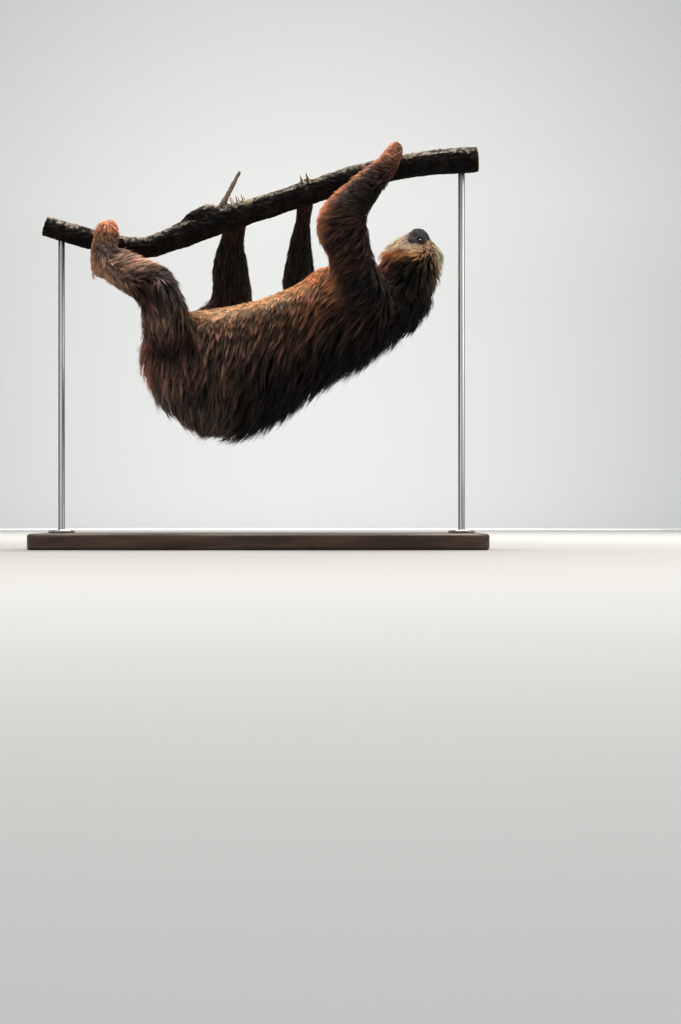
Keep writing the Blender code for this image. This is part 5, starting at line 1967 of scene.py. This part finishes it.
@dataclass
class Stand:
    """A flat wooden base and two steel rods."""

    corner: float = 0.022
    edge: float = 0.005
    rod: float = 0.006
    chamfer: float = 0.001
    flange: float = 0.024
    flange_height: float = 0.005
    fillet: float = 0.0022
    screws: int = 3
    screw: float = 0.0026
    screw_circle: float = 0.0158

    def base(self) -> bmesh.types.BMesh:
        """The base, with round corners and eased edges."""
        low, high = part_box("stand_base")
        bm = bmesh.new()
        bmesh.ops.create_cube(bm, size=1.0)
        bmesh.ops.scale(bm, vec=high - low, verts=bm.verts)
        bmesh.ops.translate(bm, vec=(low + high) / 2, verts=bm.verts)
        upright = [edge for edge in bm.edges if abs(edge.verts[0].co.z - edge.verts[1].co.z) > 0.01]
        bmesh.ops.bevel(
            bm,
            geom=upright,
            offset=self.corner,
            segments=10,
            profile=0.5,
            affect="EDGES",
            material=-1,
        )
        rims = [
            edge
            for edge in bm.edges
            if {abs(face.normal.z) > 0.5 for face in edge.link_faces} == {True, False}
        ]
        bmesh.ops.bevel(
            bm, geom=rims, offset=self.edge, segments=5, profile=0.5, affect="EDGES", material=-1
        )
        return bm

    def rod_mesh(self, name: str) -> bmesh.types.BMesh:
        """One turned rod with its foot and three screw heads.

        Args:
            name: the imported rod.

        Returns:
            The rod as a bmesh.
        """
        low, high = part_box(name)
        x, y = (low.x + high.x) / 2, (low.y + high.y) / 2
        foot, top, shoulder = low.z, high.z, low.z + self.flange_height
        bm = bmesh.new()
        line = [  # radius and height, from the middle of the foot up to the middle of the top
            (0.0, foot),
            (self.flange - 0.0006, foot),
            (self.flange, foot + 0.0006),
            (self.flange, shoulder - self.chamfer),
            (self.flange - self.chamfer, shoulder),
            (self.rod + self.fillet, shoulder),
            (self.rod + 0.0008, shoulder + 0.0008),
            (self.rod, shoulder + 0.0024),
            (self.rod, top - self.chamfer),
            (self.rod - self.chamfer, top),
            (0.0, top),
        ]
        verts = [bm.verts.new((x + radius, y, z)) for radius, z in line]
        edges = [bm.edges.new(pair) for pair in zip(verts, verts[1:])]
        turn = {"cent": (x, y, 0), "axis": (0, 0, 1), "angle": math.tau, "steps": 56}
        bmesh.ops.spin(bm, geom=verts + edges, use_merge=True, **turn)
        bmesh.ops.remove_doubles(bm, verts=bm.verts, dist=1e-6)
        bmesh.ops.recalc_face_normals(bm, faces=bm.faces)
        for number in range(self.screws):
            angle = math.tau * number / self.screws + 0.5
            across = Vector((math.cos(angle), math.sin(angle), 0.0)) * self.screw_circle
            made = bmesh.ops.create_uvsphere(bm, u_segments=20, v_segments=10, radius=self.screw)
            for vertex in made["verts"]:
                vertex.co.z = max(vertex.co.z, 0.0) * 0.5
            place = Vector((x, y, shoulder - 0.0002)) + across
            bmesh.ops.translate(bm, vec=place, verts=made["verts"])
        bmesh.ops.remove_doubles(bm, verts=bm.verts, dist=1e-6)
        return bm

    def show(self) -> None:
        """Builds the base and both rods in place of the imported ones."""
        plinth = shown("stand_plinth", self.base(), OiledWood().material())
        placed(plinth, "stand_wood", "stand_base")
        steel = BrushedSteel().material()
        for name in ("stand_rod_tail", "stand_rod_head"):
            post = shown(name.replace("rod", "post"), self.rod_mesh(name), steel)
            placed(post, "stand_steel", name)


# ---- Floor, backdrop, light and camera


@dataclass(frozen=True)
class Lamp:
    """One soft square light: where it stands, where it points, its side and its strength."""

    place: Colour
    aim: Colour
    side: float
    watts: float
    colour: Colour


@dataclass(frozen=True)
class Paper:
    """Matt studio paper, greyer under the model than further off: painted shade that evens out the
    key lamp's bright pool.
    """

    # painted shade: darker near the model, where the key lamp's light pools
    near: Colour = (0.25, 0.247, 0.243)
    far: Colour = (0.74, 0.735, 0.725)
    fade: tuple[float, float] = (0.3, 3.4)  # metres from the model's middle

    def material(self) -> bpy.types.Material:
        """Makes the finish."""
        finish = Finish("studio_paper", Roughness=0.9, Specular_IOR_Level=0.15)
        where, length = finish.place(), {"operation": "LENGTH"}
        away = finish.node("ShaderNodeVectorMath", length, {0: where}, "Value")
        return finish.dress(Base_Color=finish.mix(away.ramp(*self.fade), self.near, self.far))


@dataclass
class Studio:
    """A pale sweep, soft lamps and the camera."""

    lamps: tuple[Lamp, ...] = (
        Lamp((0.2, 0.5, 2.7), (0.0, 0.0, 0.45), 1.4, 225.0, (1.0, 0.95, 0.88)),
        Lamp((-1.3, -2.4, 2.0), (0.0, 0.0, 0.4), 2.0, 17.0, (1.0, 0.97, 0.93)),
        Lamp((2.0, -0.6, 1.7), (0.2, 0.0, 0.45), 1.2, 16.0, (1.0, 0.98, 0.95)),
        Lamp((0.0, 3.9, 0.6), (0.0, 7.0, 1.6), 2.6, 115.0, (1.0, 0.99, 0.97)),
    )
    camera_place: Colour = (0.1422, -4.0, 0.0658)
    lens: float = 78.1
    sensor: float = 36.0
    half_width: float = 7.0
    front: float = -9.0
    bend_from: float = 5.4  # Y where the floor starts to rise
    bend: float = 1.6
    height: float = 6.0
    air: Colour = (0.84, 0.95, 1.0)
    air_strength: float = 0.34

    def sweep(self) -> bmesh.types.BMesh:
        """The floor with a wide curve up into the backdrop."""
        line = [(self.front, 0.0), (0.0, 0.0), (self.bend_from, 0.0)]
        for step in range(1, 25):
            angle = math.pi / 2 * step / 24
            rise = self.bend * (1 - math.cos(angle))
            line.append((self.bend_from + self.bend * math.sin(angle), rise))
        line.append((self.bend_from + self.bend, self.height))
        bm = bmesh.new()
        verts = [bm.verts.new((-self.half_width, y, z)) for y, z in line]
        edges = [bm.edges.new(pair) for pair in zip(verts, verts[1:])]
        wide = bmesh.ops.extrude_edge_only(bm, edges=edges)["geom"]
        moved = [item for item in wide if isinstance(item, bmesh.types.BMVert)]
        bmesh.ops.translate(bm, vec=(2 * self.half_width, 0, 0), verts=moved)
        bmesh.ops.recalc_face_normals(bm, faces=bm.faces)
        return bm

    def light(self) -> None:
        """Places the lamps and the even light of the room."""
        for number, lamp in enumerate(self.lamps):
            data = bpy.data.lights.new(f"lamp_{number}", "AREA")
            data.shape, data.size = "SQUARE", lamp.side
            data.energy, data.color = lamp.watts, lamp.colour
            made = bpy.data.objects.new(f"lamp_{number}", data)
            made.location = lamp.place
            made.visible_camera = False
            ahead = Vector(lamp.aim) - Vector(lamp.place)
            made.rotation_euler = ahead.to_track_quat("-Z", "Y").to_euler()
            bpy.context.collection.objects.link(made)
        world = bpy.data.worlds.new("studio_air")
        world.use_nodes = True
        background = world.node_tree.nodes["Background"]
        background.inputs["Color"].default_value = (*self.air, 1.0)
        background.inputs["Strength"].default_value = self.air_strength
        bpy.context.scene.world = world

    def camera(self) -> None:
        """Places the camera, level and a little above the floor."""
        data = bpy.data.cameras.new("camera")
        data.lens, data.sensor_width, data.sensor_fit = self.lens, self.sensor, "AUTO"
        data.clip_start, data.clip_end = 0.05, 60.0
        camera = bpy.data.objects.new("camera", data)
        camera.location, camera.rotation_euler = self.camera_place, (math.pi / 2, 0.0, 0.0)
        bpy.context.collection.objects.link(camera)
        bpy.context.scene.camera = camera
        bpy.context.scene.view_settings.view_transform = "Standard"

    def build(self) -> None:
        """Makes the stage, the lamps and the camera."""
        shown("studio_sweep", self.sweep(), Paper().material())
        self.light()
        self.camera()


def main() -> None:
    """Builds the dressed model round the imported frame, piece by piece."""
    logging.basicConfig(level=logging.INFO, format="%(message)s")
    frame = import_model()
    nodes: Nodes = dict(frame["nodes"])
    Studio().build()
    head = HeadFrame()
    skin = Skin(nodes, head, Markings(head), Lie(head)).build()
    skin.show()
    Coat(skin).show()
    Eyes(skin).show()
    Claws(nodes).show()
    Perch(nodes).show()
    Stand().show()


if __name__ == "__main__":
    main()
